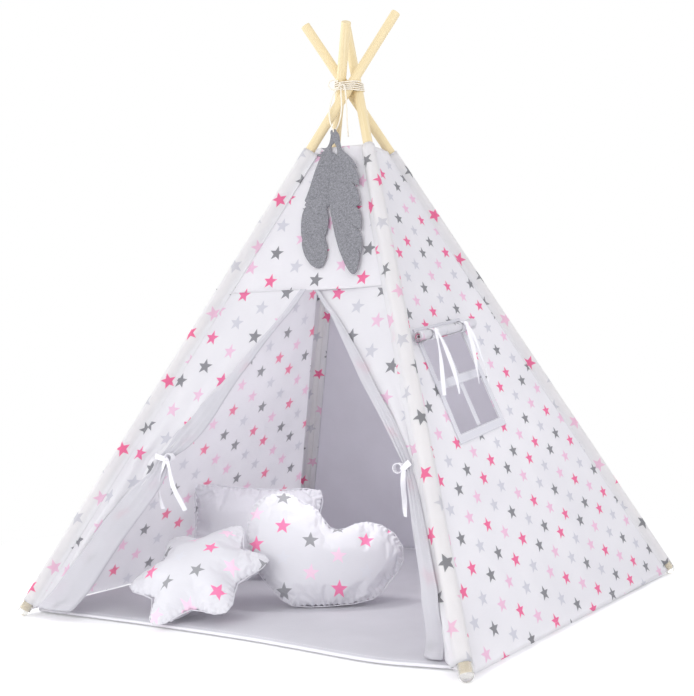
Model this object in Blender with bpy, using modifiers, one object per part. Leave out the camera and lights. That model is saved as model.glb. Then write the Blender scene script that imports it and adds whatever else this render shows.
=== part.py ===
# Kids' play teepee with a padded floor mat and three cushions.
# Frame: metres, origin on the floor under the crossing of the poles, +Z up.
# The door faces -Y and the window is in the +X panel.

import math

import bmesh
import bpy
from mathutils import Matrix, Vector

# Driving sizes of the frame
base_width = 1.213                # between foot axes, left to right
base_depth = 1.152                # between foot axes, front to back
crossing_height = 1.278
crossing_offset = 0.022           # each pole passes this far beside the centre line
pole_diameter = 0.024
pole_end_round = 0.002
pole_above_crossing = {
    "front_left": 0.221,
    "front_right": 0.218,
    "back_right": 0.192,
    "back_left": 0.168,
}
seat_gap = 0.0003                 # between pieces that touch

# Foot caps and fabric sleeves
cap_wall = 0.0024
cap_reach = 0.024                 # how far the cap covers the pole
sleeve_cloth = 0.0020
sleeve_foot_height = 0.048        # lower end of the sleeve above the floor
canopy_top_drop = 0.159            # upper edge of the canopy below the crossing

# Canopy cloth
cloth_thickness = 0.0012
panel_sag = 0.008
hem_height = 0.022
seam_height = 0.766               # seam across the front, at the top of the door
door_peak_share = 0.5323          # of the front panel's width, from its left end
panel_columns = 8
panel_rows = 10

# Door flaps: each hangs from its pole and folds back on itself
left_tie_share = 0.1527
left_tie_height = 0.369
left_foot_share = 0.1143
right_tie_share = 0.9508
right_tie_height = 0.370
right_foot_share = 0.9354
flap_fold_radius = 0.0035
flap_foot_fold_radius = 0.008
flap_peak_turn_back = 0.010       # width folded back at the top of the door
left_turn_back = 0.105            # width folded back at the foot
left_tie_turn_back = 0.036
right_turn_back = 0.040
right_tie_turn_back = 0.016
left_pleat_depth = 0.011
right_pleat_depth = 0.005
left_pleats = 2.5
right_pleats = 1.5
foot_pleat_loss_share = 0.3
flap_fold_columns = 6             # columns of the fold and the turn-back
flap_rows = 15
flap_columns = 14

# Window
cutter_reach = 0.120              # how far the window cutter passes through the cloth
window_pole_clearance = 0.0295    # from the border's upper corner to the front sleeve
window_back_y = 0.030
window_low_height = 0.429         # edges of the opening at its front end
window_high_height = 0.644
window_climb = 0.105              # rise of the window's lines towards the back, per metre
border_width = 0.020
border_cloth = 0.0012
border_lift = 0.0008              # how far the border lies off the sagging cloth
tape_width = 0.020
tape_cloth = 0.0010
roll_diameter = 0.028
roll_drop = 0.002                 # axis of the roll below the upper edge of the opening
roll_front_reach = 0.041          # how far the roll passes the opening
roll_back_reach = 0.048
window_tail_length = 0.150
near_tie_inset = 0.023            # from the front edge of the opening
far_tie_inset = 0.030
near_tail_swings = (-0.045, 0.022)  # how far the two tails end to the sides
far_tail_swings = (-0.024, 0.024)

# Ribbon ties
ribbon_width = 0.013
ribbon_cloth = 0.0012
ribbon_knot_length = 0.018
ribbon_knot_height = 0.014
ribbon_knot_depth = 0.010
door_tail_length = 0.095
left_tail_swings = (0.012, 0.072)
right_tail_swing = 0.006
left_loop_angle = math.radians(17)
left_tie_bulge_share = 0.45       # of the fold's radius, that the knot rests on
right_tie_bulge_share = 1.0
tail_rest_lift = 0.004            # how far the window tails lie off the cloth
bow_loop_diameter = 0.022

# Cord of the lashing and the feathers
cord_diameter = 0.0026
lashing_turns = 5
lashing_pitch = 0.0050
loop_points = 24
cord_clearance = 0.0004
knot_diameter = 0.013
knot_x = 0.002
cord_bow_diameter = 0.020
bow_reach_share = 0.9
bow_end_angle = math.radians(152)

# Feathers
left_feather_tip_share = 0.5797   # of the front panel's width
left_feather_drop = 0.342         # tip below the hole
left_feather_width = 0.072
left_feather_bend = 0.030         # how far its middle bows to the left
right_feather_tip_share = 0.8103
right_feather_drop = 0.371
right_feather_width = 0.086
right_feather_bend = 0.0
feather_felt = 0.0030
feather_hole_diameter = 0.0060
feather_hole_drop = 0.124         # below the crossing
feather_hole_share = 0.2925
feather_lift = 0.0045             # space between the canopy and the back feather

# Floor mat
mat_thickness = 0.014
mat_side_inset = 0.0265           # edge of the mat inside the foot axes, left and right
mat_end_inset = 0.0200            # the same at the front and the back
mat_corner_round = 0.012
mat_edge_round = 0.004
piping_diameter = 0.0066

# Cushions
seam_crease_share = 0.7
cushion_fullness_share = 0.55
star_span = 0.360
star_thickness = 0.085
star_tilt = math.radians(33)
star_turn = math.radians(10)
star_roll = math.radians(-11)
star_x = -0.172
star_y = -0.418
cloud_width = 0.392
cloud_height = 0.287
cloud_thickness = 0.115
cloud_lean = math.radians(20)
cloud_turn = math.radians(35)
cloud_x = 0.052
cloud_y = -0.226
pillow_width = 0.360
pillow_height = 0.245
pillow_thickness = 0.100
pillow_draw_in_share = 0.05
pillow_lean = math.radians(12)
pillow_turn = math.radians(35)
pillow_roll = math.radians(-4)
pillow_x = -0.305
pillow_y = -0.060

# Routes of the cords, in metres, from the knot outwards
feather_cord_route = [
    (-0.0005, -0.0431, 1.2727), (-0.0075, -0.0530, 1.2580), (-0.0120, -0.0620, 1.2360),
    (-0.0135, -0.0695, 1.2100), (-0.0105, -0.0720, 1.1860), (-0.0060, -0.0712, 1.1710),
    (-0.0025, -0.0706, 1.1629), (-0.0018, -0.0707, 1.1596), (-0.0017, -0.0693, 1.1574),
    (-0.0020, -0.0662, 1.1561), (-0.0026, -0.0637, 1.1566), (-0.0035, -0.0614, 1.1590),
    (-0.0030, -0.0585, 1.1650), (0.0020, -0.0565, 1.1730), (0.0100, -0.0560, 1.1930),
    (0.0145, -0.0560, 1.2190), (0.0120, -0.0530, 1.2440), (0.0039, -0.0420, 1.2719),
]
tail_route = [
    (0.0087, -0.0407, 1.2778), (0.0145, -0.0440, 1.2750), (0.0185, -0.0455, 1.2680),
    (0.0205, -0.0455, 1.2540), (0.0215, -0.0450, 1.2340), (0.0225, -0.0455, 1.2040),
    (0.0240, -0.0465, 1.1740), (0.0270, -0.0480, 1.1450),
]

# Outline of a feather from its stem down: share of the length, shares of the
# half width on its left and right side
left_feather_shares = [
    (-0.020, 0.16, 0.16), (0.035, 0.17, 0.17), (0.075, 0.20, 0.20), (0.110, 0.34, 0.30),
    (0.150, 0.62, 0.42), (0.165, 0.34, 0.50), (0.190, 0.58, 0.56), (0.290, 0.74, 0.70),
    (0.400, 0.86, 0.80), (0.500, 0.95, 0.88), (0.545, 0.88, 0.72), (0.600, 1.00, 0.98),
    (0.700, 1.00, 0.98), (0.760, 0.98, 0.76), (0.800, 0.98, 0.92), (0.870, 0.88, 0.88),
    (0.930, 0.66, 0.70), (0.975, 0.36, 0.40), (1.000, 0.05, 0.06),
]
right_feather_shares = [
    (-0.020, 0.13, 0.13), (0.040, 0.14, 0.14), (0.090, 0.18, 0.22), (0.130, 0.30, 0.46),
    (0.200, 0.46, 0.90), (0.212, 0.48, 0.62), (0.270, 0.58, 0.90), (0.340, 0.66, 1.00),
    (0.352, 0.67, 0.64), (0.420, 0.74, 0.96), (0.510, 0.80, 1.00), (0.522, 0.80, 0.80),
    (0.600, 0.82, 0.98), (0.680, 0.80, 0.98), (0.650, 0.80, 0.50), (0.740, 0.72, 0.88),
    (0.850, 0.54, 0.92), (0.820, 0.58, 0.56), (0.920, 0.34, 0.56), (0.970, 0.18, 0.28),
    (1.000, 0.03, 0.04),
]

# Outline of one arm of the star: shares of the turn to the next arm and of the reach
star_arm_shares = [
    (-0.16, 0.93), (0.0, 1.0), (0.16, 0.93), (0.33, 0.76), (0.5, 0.66), (0.67, 0.76),
]

# Outline of the cloud: shares of its width from the middle and of its height
cloud_outline_shares = [
    (-0.235, 0.000), (-0.290, 0.110), (-0.385, 0.260), (-0.470, 0.500), (-0.500, 0.700),
    (-0.455, 0.860), (-0.380, 0.965), (-0.270, 1.000), (-0.165, 0.960), (-0.125, 0.880),
    (-0.055, 0.850), (0.000, 0.755), (0.028, 0.675), (0.100, 0.665), (0.160, 0.690),
    (0.240, 0.715), (0.350, 0.690), (0.445, 0.610), (0.498, 0.495), (0.495, 0.375),
    (0.435, 0.245), (0.415, 0.165), (0.330, 0.075), (0.200, 0.020), (0.070, 0.000),
    (-0.080, 0.000),
]

corner_signs = {
    "front_left": (-1, -1),
    "front_right": (1, -1),
    "back_right": (1, 1),
    "back_left": (-1, 1),
}
side_corners = {
    "front": ("front_left", "front_right"),
    "right": ("front_right", "back_right"),
    "back": ("back_right", "back_left"),
    "left": ("back_left", "front_left"),
}
up = Vector((0, 0, 1))
pole_radius = pole_diameter / 2
cord_radius = cord_diameter / 2
cap_radius = pole_radius + seat_gap + cap_wall
sleeve_radius = pole_radius + seat_gap + sleeve_cloth
panel_reach = max(sleeve_radius, cap_radius) + seat_gap
canopy_top_height = crossing_height - canopy_top_drop
mat_width = base_width - 2 * mat_side_inset
mat_depth = base_depth - 2 * mat_end_inset

for old_object in list(bpy.data.objects):
    bpy.data.objects.remove(old_object, do_unlink=True)

parts = bpy.data.collections.new("kids_teepee")
cutters = bpy.data.collections.new("cutters")
bpy.context.scene.collection.children.link(parts)
bpy.context.scene.collection.children.link(cutters)


def material(name, color, roughness):
    made = bpy.data.materials.new(name)
    made.use_nodes = True
    shader = made.node_tree.nodes["Principled BSDF"]
    shader.inputs["Base Color"].default_value = (*color, 1)
    shader.inputs["Roughness"].default_value = roughness
    shader.inputs["Metallic"].default_value = 0
    return made


pine = material("pine", (0.80, 0.65, 0.38), 0.55)
rubber = material("clear_rubber", (0.82, 0.80, 0.72), 0.40)
star_cotton = material("star_cotton", (0.88, 0.86, 0.90), 0.90)
white_cotton = material("white_cotton", (0.90, 0.90, 0.92), 0.90)
grey_cotton = material("grey_cotton", (0.55, 0.54, 0.60), 0.90)
pale_cotton = material("pale_cotton", (0.72, 0.71, 0.76), 0.90)
rope_cotton = material("rope_cotton", (0.85, 0.80, 0.72), 0.85)
grey_felt = material("grey_felt", (0.16, 0.16, 0.17), 0.95)


class Pole:
    """A pole axis: where it crosses, which way it runs down and how far it tilts."""

    def __init__(self, corner):
        side_x, side_y = corner_signs[corner]
        foot = Vector((side_x * base_width / 2, side_y * base_depth / 2, 0))
        self.outward = foot.normalized()
        self.sideways = up.cross(self.outward)
        self.tilt = math.atan(foot.length / crossing_height)
        self.crossing = self.sideways * crossing_offset + up * crossing_height
        self.down = self.outward * math.sin(self.tilt) - up * math.cos(self.tilt)

    def at_height(self, height):
        return self.crossing + self.down * ((crossing_height - height) / math.cos(self.tilt))

    def frame_at(self, point):
        """Matrix whose Z runs up the pole, for pieces turned about the axis."""
        rotation = Matrix((self.outward * math.cos(self.tilt) + up * math.sin(self.tilt),
                           self.sideways, -self.down)).transposed()
        return Matrix.Translation(point) @ rotation.to_4x4()


poles = {corner: Pole(corner) for corner in corner_signs}


def add_object(name, data, surface, collection=parts):
    made = bpy.data.objects.new(name, data)
    collection.objects.link(made)
    data.materials.append(surface)
    return made


def add_mesh(name, shape, surface, collection=parts):
    """Turns a bmesh into an object and frees it."""
    data = bpy.data.meshes.new(name)
    shape.to_mesh(data)
    shape.free()
    return add_object(name, data, surface, collection)


def shade(made):
    made.data.shade_smooth()
    made.data.set_sharp_from_angle(angle=math.radians(40))


def solidify(made, thickness, offset=-1):
    """Offset -1 grows the wall against the face normals, 0 both ways."""
    wall = made.modifiers.new("wall", "SOLIDIFY")
    wall.thickness = thickness
    wall.offset = offset
    return wall


def sheet(name, rows, surface, thickness, offset=-1, closed=False, collection=parts):
    """A cloth sheet through rows of points, given its thickness by Solidify."""
    shape = bmesh.new()
    grid = [[shape.verts.new(point) for point in row] for row in rows]
    for upper, lower in zip(grid, grid[1:]):
        count = len(upper)
        for column in range(count if closed else count - 1):
            after = (column + 1) % count
            shape.faces.new((upper[column], lower[column], lower[after], upper[after]))
    made = add_mesh(name, shape, surface, collection)
    solidify(made, thickness, offset)
    shade(made)
    return made


def smooth_route(points, step):
    """Points along a smooth curve through the given ones, about one step apart."""
    route = [Vector(point) for point in points]
    route = [route[0] * 2 - route[1]] + route + [route[-1] * 2 - route[-2]]
    made = []
    for before, start, end, after in zip(route, route[1:], route[2:], route[3:]):
        count = max(1, round((end - start).length / step))
        for index in range(count):
            share = index / count
            made.append(0.5 * (2 * start + (end - before) * share
                               + (2 * before - 5 * start + 4 * end - after) * share ** 2
                               + (3 * start - before - 3 * end + after) * share ** 3))
    return made + [route[-2]]


def tube(name, points, radius, surface, detail=2, closed=False):
    """A round cord or piping: a bevelled curve with filled caps."""
    data = bpy.data.curves.new(name, "CURVE")
    data.dimensions = "3D"
    data.bevel_depth = radius
    data.bevel_resolution = detail
    data.use_fill_caps = True
    spline = data.splines.new("POLY")
    spline.points.add(len(points) - 1)
    for place, point in zip(spline.points, points):
        place.co = (*point, 1)
    spline.use_cyclic_u = closed
    return add_object(name, data, surface)


def turned(name, profile, surface, steps, axis_matrix):
    """A turned piece: the profile at +X carried round Z by a Screw modifier."""
    shape = bmesh.new()
    corners = [shape.verts.new((radius, 0, height)) for radius, height in profile]
    for start, end in zip(corners, corners[1:]):
        shape.edges.new((start, end))
    if profile[0][0] > 0:
        shape.edges.new((corners[-1], corners[0]))
    made = add_mesh(name, shape, surface)
    screw = made.modifiers.new("turn", "SCREW")
    screw.axis = "Z"
    screw.angle = math.tau
    screw.screw_offset = 0
    screw.steps = steps
    screw.render_steps = steps
    screw.use_merge_vertices = True
    screw.merge_threshold = 0.00001
    screw.use_smooth_shade = True
    made.matrix_world = axis_matrix
    return made


def make_pole(corner):
    pole = poles[corner]
    foot_end = pole.at_height(cap_radius) - pole.down * seat_gap
    length = (foot_end - pole.crossing).length + pole_above_crossing[corner]
    shape = bmesh.new()
    bmesh.ops.create_cone(shape, cap_ends=True, segments=24, radius1=pole_radius,
                          radius2=pole_radius, depth=length)
    bmesh.ops.translate(shape, verts=shape.verts, vec=(0, 0, length / 2))
    made = add_mesh("pole_" + corner, shape, pine)
    bevel = made.modifiers.new("eased_ends", "BEVEL")
    bevel.width = pole_end_round
    bevel.segments = 2
    bevel.limit_method = "ANGLE"
    made.matrix_world = pole.frame_at(foot_end)
    shade(made)


def make_foot_cap(corner):
    """A cup over the foot of the pole, with a round underside on the floor."""
    pole = poles[corner]
    bore = pole_radius + seat_gap
    rounds = 6
    profile = [(0, 0), (bore, 0), (bore, cap_reach), (cap_radius, cap_reach)]
    for index in range(rounds + 1):
        angle = math.pi / 2 * index / rounds
        profile.append((cap_radius * math.cos(angle), -cap_radius * math.sin(angle)))
    profile[-1] = (0, -cap_radius)
    turned("foot_cap_" + corner, profile, rubber, 24, pole.frame_at(pole.at_height(cap_radius)))


def make_sleeve(corner):
    pole = poles[corner]
    low = pole.at_height(sleeve_foot_height)
    length = (pole.at_height(canopy_top_height) - low).length
    bore = pole_radius + seat_gap
    profile = [(sleeve_radius, length), (sleeve_radius, 0), (bore, 0), (bore, length)]
    turned("sleeve_" + corner, profile, white_cotton, 20, pole.frame_at(low))


def side_ends(side, height):
    """Ends of a panel at one height, where it meets the two sleeves."""
    first, second = side_corners[side]
    start = poles[first].at_height(height)
    end = poles[second].at_height(height)
    along = (end - start).normalized()
    start_inset = panel_reach / math.sqrt(1 - along.dot(poles[first].down) ** 2)
    end_inset = panel_reach / math.sqrt(1 - along.dot(poles[second].down) ** 2)
    return start + along * start_inset, end - along * end_inset


def side_outward(side):
    first, second = side_corners[side]
    along = (poles[second].at_height(0) - poles[first].at_height(0)).normalized()
    lean = poles[first].at_height(0) - poles[first].crossing
    return along.cross(-lean + along * along.dot(lean)).normalized()


def panel_hang(share, height):
    """How far a panel sags inward at a share of its width."""
    climb = (height - hem_height) / (canopy_top_height - hem_height)
    return panel_sag * 4 * share * (1 - share) * math.sin(math.pi * min(1, max(0, climb)))


def panel_point(side, share, height, outward=0.0):
    """A point of a canopy panel's outer face, sagging a little between the poles."""
    start, end = side_ends(side, height)
    return start.lerp(end, share) + side_outward(side) * (outward - panel_hang(share, height))


def share_along(side, height, place):
    """Share of a panel's width at a given x (front and back) or y (left and right)."""
    start, end = side_ends(side, height)
    axis = 0 if side in ("front", "back") else 1
    return (place - start[axis]) / (end[axis] - start[axis])


def window_point(y, height, outward=0.0):
    """A point by the window, whose lines climb a little from its front edge to the back."""
    risen = height + (y - window_front_y) * window_climb
    return panel_point("right", share_along("right", risen, y), risen, outward)


def steps_between(start, end, count):
    return [start + (end - start) * index / count for index in range(count + 1)]


window_front_y = (side_ends("right", window_high_height + border_width)[0].y
                  + window_pole_clearance + border_width)
roll_front_y = window_front_y - roll_front_reach
roll_back_y = window_back_y + roll_back_reach
roll_height = window_high_height - roll_drop


def make_panel(name, side, low, high, surface):
    rows = [[panel_point(side, share, height) for share in steps_between(0, 1, panel_columns)]
            for height in steps_between(high, low, panel_rows)]
    return sheet(name, rows, surface, cloth_thickness)


def cut_window(panel):
    """Cuts the window opening out of the right panel, square to the cloth."""
    reach = side_outward("right") * cutter_reach
    corners = [(window_front_y, window_low_height), (window_back_y, window_low_height),
               (window_back_y, window_high_height), (window_front_y, window_high_height)]
    shape = bmesh.new()
    outer = [shape.verts.new(window_point(y, height) + reach) for y, height in corners]
    inner = [shape.verts.new(window_point(y, height) - reach) for y, height in corners]
    shape.faces.new(outer)
    shape.faces.new(reversed(inner))
    for index in range(4):
        after = (index + 1) % 4
        shape.faces.new((outer[after], outer[index], inner[index], inner[after]))
    cutter = add_mesh("window_cutter", shape, white_cotton, cutters)
    cutter.hide_render = True
    cutter.display_type = "WIRE"
    cut = panel.modifiers.new("window", "BOOLEAN")
    cut.operation = "DIFFERENCE"
    cut.object = cutter


def make_window_border():
    """The plain border stitched round the opening, a ring cut from one sheet."""
    across = [window_front_y - border_width, window_front_y, window_back_y,
              window_back_y + border_width]
    heights = [window_high_height + border_width, window_high_height,
               (window_high_height + window_low_height) / 2,
               window_low_height, window_low_height - border_width]
    shape = bmesh.new()
    spans = []
    for start, end in zip(across, across[1:]):
        spans += steps_between(start, end, 3)[:-1]
    spans.append(across[-1])
    grid = [[shape.verts.new(window_point(y, height, border_lift + border_cloth)) for y in spans]
            for height in heights]
    for row, (upper, lower) in enumerate(zip(grid, grid[1:])):
        for column in range(len(spans) - 1):
            in_hole = 1 <= row <= 2 and 3 <= column <= 5
            if not in_hole:
                shape.faces.new((upper[column], lower[column], lower[column + 1], upper[column + 1]))
    loose = [vert for vert in shape.verts if not vert.link_faces]
    bmesh.ops.delete(shape, geom=loose, context="VERTS")
    made = add_mesh("window_border", shape, pale_cotton)
    solidify(made, border_cloth)
    shade(made)


def make_window_tapes():
    """Two tapes cross the opening; the level one lies in front of the upright one."""
    middle_y = (window_front_y + window_back_y) / 2
    middle_height = (window_low_height + window_high_height) / 2
    half = tape_width / 2
    rows = [[window_point(y, height, -seat_gap) for y in (middle_y - half, middle_y + half)]
            for height in steps_between(window_high_height - seat_gap * 2,
                                        window_low_height + seat_gap * 2, 6)]
    sheet("window_tape_upright", rows, pale_cotton, tape_cloth)
    rows = [[window_point(y, height, seat_gap + tape_cloth)
             for y in steps_between(window_front_y + seat_gap, window_back_y - seat_gap, 6)]
            for height in (middle_height + half, middle_height - half)]
    sheet("window_tape_level", rows, pale_cotton, tape_cloth)


def roll_axis_point(y):
    return window_point(y, roll_height, roll_diameter / 2 + seat_gap * 2 + border_lift + border_cloth)


def make_window_roll():
    """The window flap, rolled up above the opening."""
    radius = roll_diameter / 2
    centres = [roll_axis_point(y) for y in steps_between(roll_front_y, roll_back_y, 6)]
    tube("window_flap_roll", centres, radius, star_cotton, detail=3)


def ellipsoid(shape, centre, axes, sizes, rings=6, sectors=8):
    """Adds a closed ellipsoid with the given axes and full sizes to a bmesh."""
    turn = Matrix(axes).transposed()
    scale = Matrix.Diagonal([size / 2 for size in sizes])
    place = Matrix.Translation(centre) @ (turn @ scale).to_4x4()
    bmesh.ops.create_uvsphere(shape, u_segments=sectors, v_segments=rings, radius=1, matrix=place)


def ribbon(name, centre_line, across, collection):
    """A flat ribbon: a strip along a line, as wide as the ribbon across it."""
    half = across.normalized() * (ribbon_width / 2)
    rows = [[point - half, point + half] for point in centre_line]
    made = sheet(name, rows, white_cotton, ribbon_cloth, offset=0, collection=collection)
    return made


def join_ribbons(body, strips):
    """Unites ribbons with their knot, so that a tie is one body."""
    for strip in strips:
        strip.hide_render = True
        strip.display_type = "WIRE"
        join = body.modifiers.new(strip.name, "BOOLEAN")
        join.operation = "UNION"
        join.object = strip


def make_tie(name, knot, right, outward, fall, tails, loop_angle=None, band=None):
    """A tied ribbon: its knot, its hanging tails, and a bow loop or a band if it has one.

    Each tail has its swing sideways and its length; it runs along fall.
    """
    shape = bmesh.new()
    forward = outward.normalized()
    sideways = right.normalized()
    ellipsoid(shape, knot, (sideways, forward, up),
              (ribbon_knot_length, ribbon_knot_depth, ribbon_knot_height))
    body = add_mesh(name, shape, white_cotton)
    strips = []
    for index, (swing, length) in enumerate(tails):
        line = []
        for share in steps_between(0, 1, 6):
            bulge = math.sin(math.pi * share) * ribbon_width / 2
            line.append(knot + fall * (length * share) + sideways * (swing * share ** 0.7)
                        + forward * bulge)
        strips.append(ribbon(f"{name}_tail_{index}", line, sideways, cutters))
    if loop_angle is not None:
        radius = bow_loop_diameter / 2
        reach = sideways * math.cos(loop_angle) + up * math.sin(loop_angle)
        rise = up * math.cos(loop_angle) - sideways * math.sin(loop_angle)
        centre = knot + reach * (radius + ribbon_cloth)
        ring = [centre + (reach * math.cos(math.tau * index / 12)
                          + rise * math.sin(math.tau * index / 12)) * radius
                for index in range(12)]
        half = forward * (ribbon_width / 2)
        rows = [[point - half for point in ring], [point + half for point in ring]]
        strips.append(sheet(f"{name}_loop", rows, white_cotton, ribbon_cloth, offset=0,
                            closed=True, collection=cutters))
    if band is not None:
        strips.append(ribbon(f"{name}_band", [knot, knot.lerp(band, 0.5), band], up, cutters))
    join_ribbons(body, strips)
    shade(body)
    return body


def flap_numbers(is_left):
    """Sizes of one door flap: its tie and foot places, turn-backs and pleats."""
    if is_left:
        return (left_tie_share, left_tie_height, left_foot_share, left_tie_turn_back,
                left_turn_back, left_pleat_depth, left_pleats)
    return (right_tie_share, right_tie_height, right_foot_share, right_tie_turn_back,
            right_turn_back, right_pleat_depth, right_pleats)


def front_x(share, height):
    """Place along the door side at a share of the front panel's width."""
    start, end = side_ends("front", height)
    return start.x + (end.x - start.x) * share


def flap_fold_x(is_left, height):
    """Where the flap's free fold lies at a height: from the peak to the tie to the foot."""
    tie_share, tie_height, foot_share = flap_numbers(is_left)[:3]
    tie_x = front_x(tie_share, tie_height)
    if height > tie_height:
        share = (seam_height - height) / (seam_height - tie_height)
        peak_x = front_x(door_peak_share, seam_height)
        return peak_x + (tie_x - peak_x) * share
    share = (tie_height - height) / (tie_height - hem_height)
    return tie_x + (front_x(foot_share, hem_height) - tie_x) * share


def flap_row(is_left, height):
    """Cross-section of a door flap: pleats from the pole to the fold, then the turn-back."""
    _, tie_height, _, tie_turn, foot_turn, depth, pleats = flap_numbers(is_left)
    side = 1 if is_left else -1
    if height > tie_height:
        below = 0
        above = (seam_height - height) / (seam_height - tie_height)
        turn_back = flap_peak_turn_back + (tie_turn - flap_peak_turn_back) * above
        radius = flap_fold_radius
        wave = depth * above ** 2
    else:
        below = (tie_height - height) / (tie_height - hem_height)
        turn_back = tie_turn + (foot_turn - tie_turn) * below
        radius = flap_fold_radius + (flap_foot_fold_radius - flap_fold_radius) * below
        wave = depth * (1 - below * foot_pleat_loss_share)
    start, end = side_ends("front", height)
    outer = start if is_left else end
    outward = Vector((0, -1, 0))
    inward_x = Vector((side, 0, 0))
    reach = (flap_fold_x(is_left, height) - outer.x) * side - radius
    back_columns = flap_columns - flap_fold_columns
    row = []
    for index in range(back_columns + 1):
        share = index / back_columns
        swell = wave * math.sin(math.tau * pleats * share) * math.sin(math.pi * share) ** 0.5
        hang = panel_hang(reach * share / (end - start).length, height)
        row.append(outer + inward_x * (reach * share) - outward * (wave * share + swell + hang))
    last = row[-1]
    for index in range(1, 4):
        angle = math.pi * index / 4
        row.append(last + inward_x * (radius * math.sin(angle))
                   + outward * (radius * (1 - math.cos(angle))))
    front = last + outward * (radius * 2)
    for index in range(4):
        share = index / 3
        row.append(front - inward_x * (turn_back * share)
                   + outward * (radius * math.sin(math.pi * share)))
    return row


def make_flap(is_left):
    rows = [flap_row(is_left, height)
            for height in steps_between(seam_height - cloth_thickness * 2, hem_height, flap_rows)]
    if not is_left:
        rows = [list(reversed(row)) for row in rows]
    name = "door_flap_left" if is_left else "door_flap_right"
    sheet(name, rows, star_cotton, cloth_thickness, offset=0)


def make_door_tie(is_left):
    """The ribbon round a gathered flap, tied in front of it."""
    height = left_tie_height if is_left else right_tie_height
    row = flap_row(is_left, height)
    outward = side_outward("front")
    fold_front = row[-4]
    bulge_share = left_tie_bulge_share if is_left else right_tie_bulge_share
    away = ribbon_knot_depth / 2 + cloth_thickness / 2 + seat_gap + flap_fold_radius * bulge_share
    knot = fold_front + outward * away
    forward = Vector((0, -1, 0))
    if is_left:
        tails = [(swing, door_tail_length) for swing in left_tail_swings]
        make_tie("door_tie_left", knot, Vector((1, 0, 0)), forward, -up, tails,
                 loop_angle=left_loop_angle,
                 band=knot + Vector((-left_tie_turn_back, 0, ribbon_width / 2)))
    else:
        make_tie("door_tie_right", knot, Vector((-1, 0, 0)), forward, -up,
                 [(right_tail_swing, door_tail_length)],
                 loop_angle=0, band=knot + Vector((right_tie_turn_back, 0, ribbon_width)))


def make_window_tie(name, y, swings):
    """A pair of ribbons round the roll, knotted in front of it, with tails down the panel."""
    axis = roll_axis_point(y)
    outward = side_outward("right")
    knot = axis + outward * (roll_diameter / 2 + ribbon_knot_depth / 2 + seat_gap)
    end = window_point(y, roll_height - window_tail_length,
                       tail_rest_lift + ribbon_width / 2 + border_lift + border_cloth)
    fall = (end - knot).normalized()
    tails = [(swing, window_tail_length) for swing in swings]
    make_tie(name, knot, Vector((0, 1, 0)), outward, fall, tails)


def hull_point(angle, height, spread):
    """Outermost point of the bundle of poles towards an angle, moved out by spread."""
    normal = Vector((math.cos(angle), math.sin(angle), 0))
    best = None
    for pole in poles.values():
        along = normal.dot(pole.outward) / math.cos(pole.tilt)
        side = normal.dot(pole.sideways)
        reach = pole_radius * math.sqrt(along ** 2 + side ** 2)
        centre = pole.at_height(height)
        far = centre.dot(normal) + reach
        if best is None or far > best[0]:
            touch = (pole.outward * (along / math.cos(pole.tilt)) + pole.sideways * side)
            best = (far, centre + touch * (pole_radius ** 2 / reach))
    return best[1] + normal * spread


def least_gap(points, radius, apart):
    """Smallest clear distance between stretches of a winding at least apart points away."""
    smallest = math.inf
    for first in range(len(points) - apart):
        for second in range(first + apart, len(points)):
            smallest = min(smallest, (points[first] - points[second]).length - 2 * radius)
    return smallest


def make_lashing():
    """The cord wound round the crossing, one unbroken tube from front to front."""
    spread = (cord_radius + cord_clearance) / math.cos(poles["front_left"].tilt)
    count = lashing_turns * loop_points
    points = []
    for index in range(count + 1):
        turn = index / loop_points
        height = crossing_height + (turn - lashing_turns / 2) * lashing_pitch
        points.append(hull_point(-math.pi / 2 + math.tau * turn, height, spread))
    print("least gap between the turns of the lashing, mm:",
          round(least_gap(points, cord_radius, loop_points // 2) * 1000, 2))
    tube("lashing", points, cord_radius, rope_cotton, detail=1)
    return spread


def make_knot(spread):
    front = hull_point(-math.pi / 2, crossing_height, spread)
    centre = front - Vector((0, cord_radius + seat_gap * 2 + knot_diameter / 2, 0))
    centre.x = knot_x
    shape = bmesh.new()
    axes = (Vector((1, 0, 0)), Vector((0, 1, 0)), up)
    ellipsoid(shape, centre, axes, (knot_diameter, knot_diameter, knot_diameter), 8, 12)
    knot = add_mesh("lashing_knot", shape, rope_cotton)
    shade(knot)
    reach = Vector((-0.82, -0.57, 0)).normalized()
    radius = cord_bow_diameter / 2
    middle = centre + reach * (knot_diameter / 2 + radius * bow_reach_share)
    points = [middle + (reach * math.cos(angle) + up * math.sin(angle)) * radius
              for angle in steps_between(bow_end_angle, -bow_end_angle, 16)]
    tube("lashing_bow", points, cord_radius, rope_cotton, detail=2)
    return centre


def feather_frame(tip_share, drop, layer):
    """Matrix of a feather, X across it, Y up its length and Z outward, and its length."""
    lift = feather_lift + feather_felt / 2 + layer * (feather_felt + seat_gap)
    hole_height = crossing_height - feather_hole_drop
    hole = panel_point("front", feather_hole_share, hole_height, lift)
    tip = panel_point("front", tip_share, hole_height - drop, lift)
    start, end = side_ends("front", hole_height - drop / 2)
    turned_up = (hole - tip).normalized()
    outward = (end - start).cross(turned_up).normalized()
    rotation = Matrix((turned_up.cross(outward), turned_up, outward)).transposed()
    return Matrix.Translation(hole) @ rotation.to_4x4(), (hole - tip).length


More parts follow.
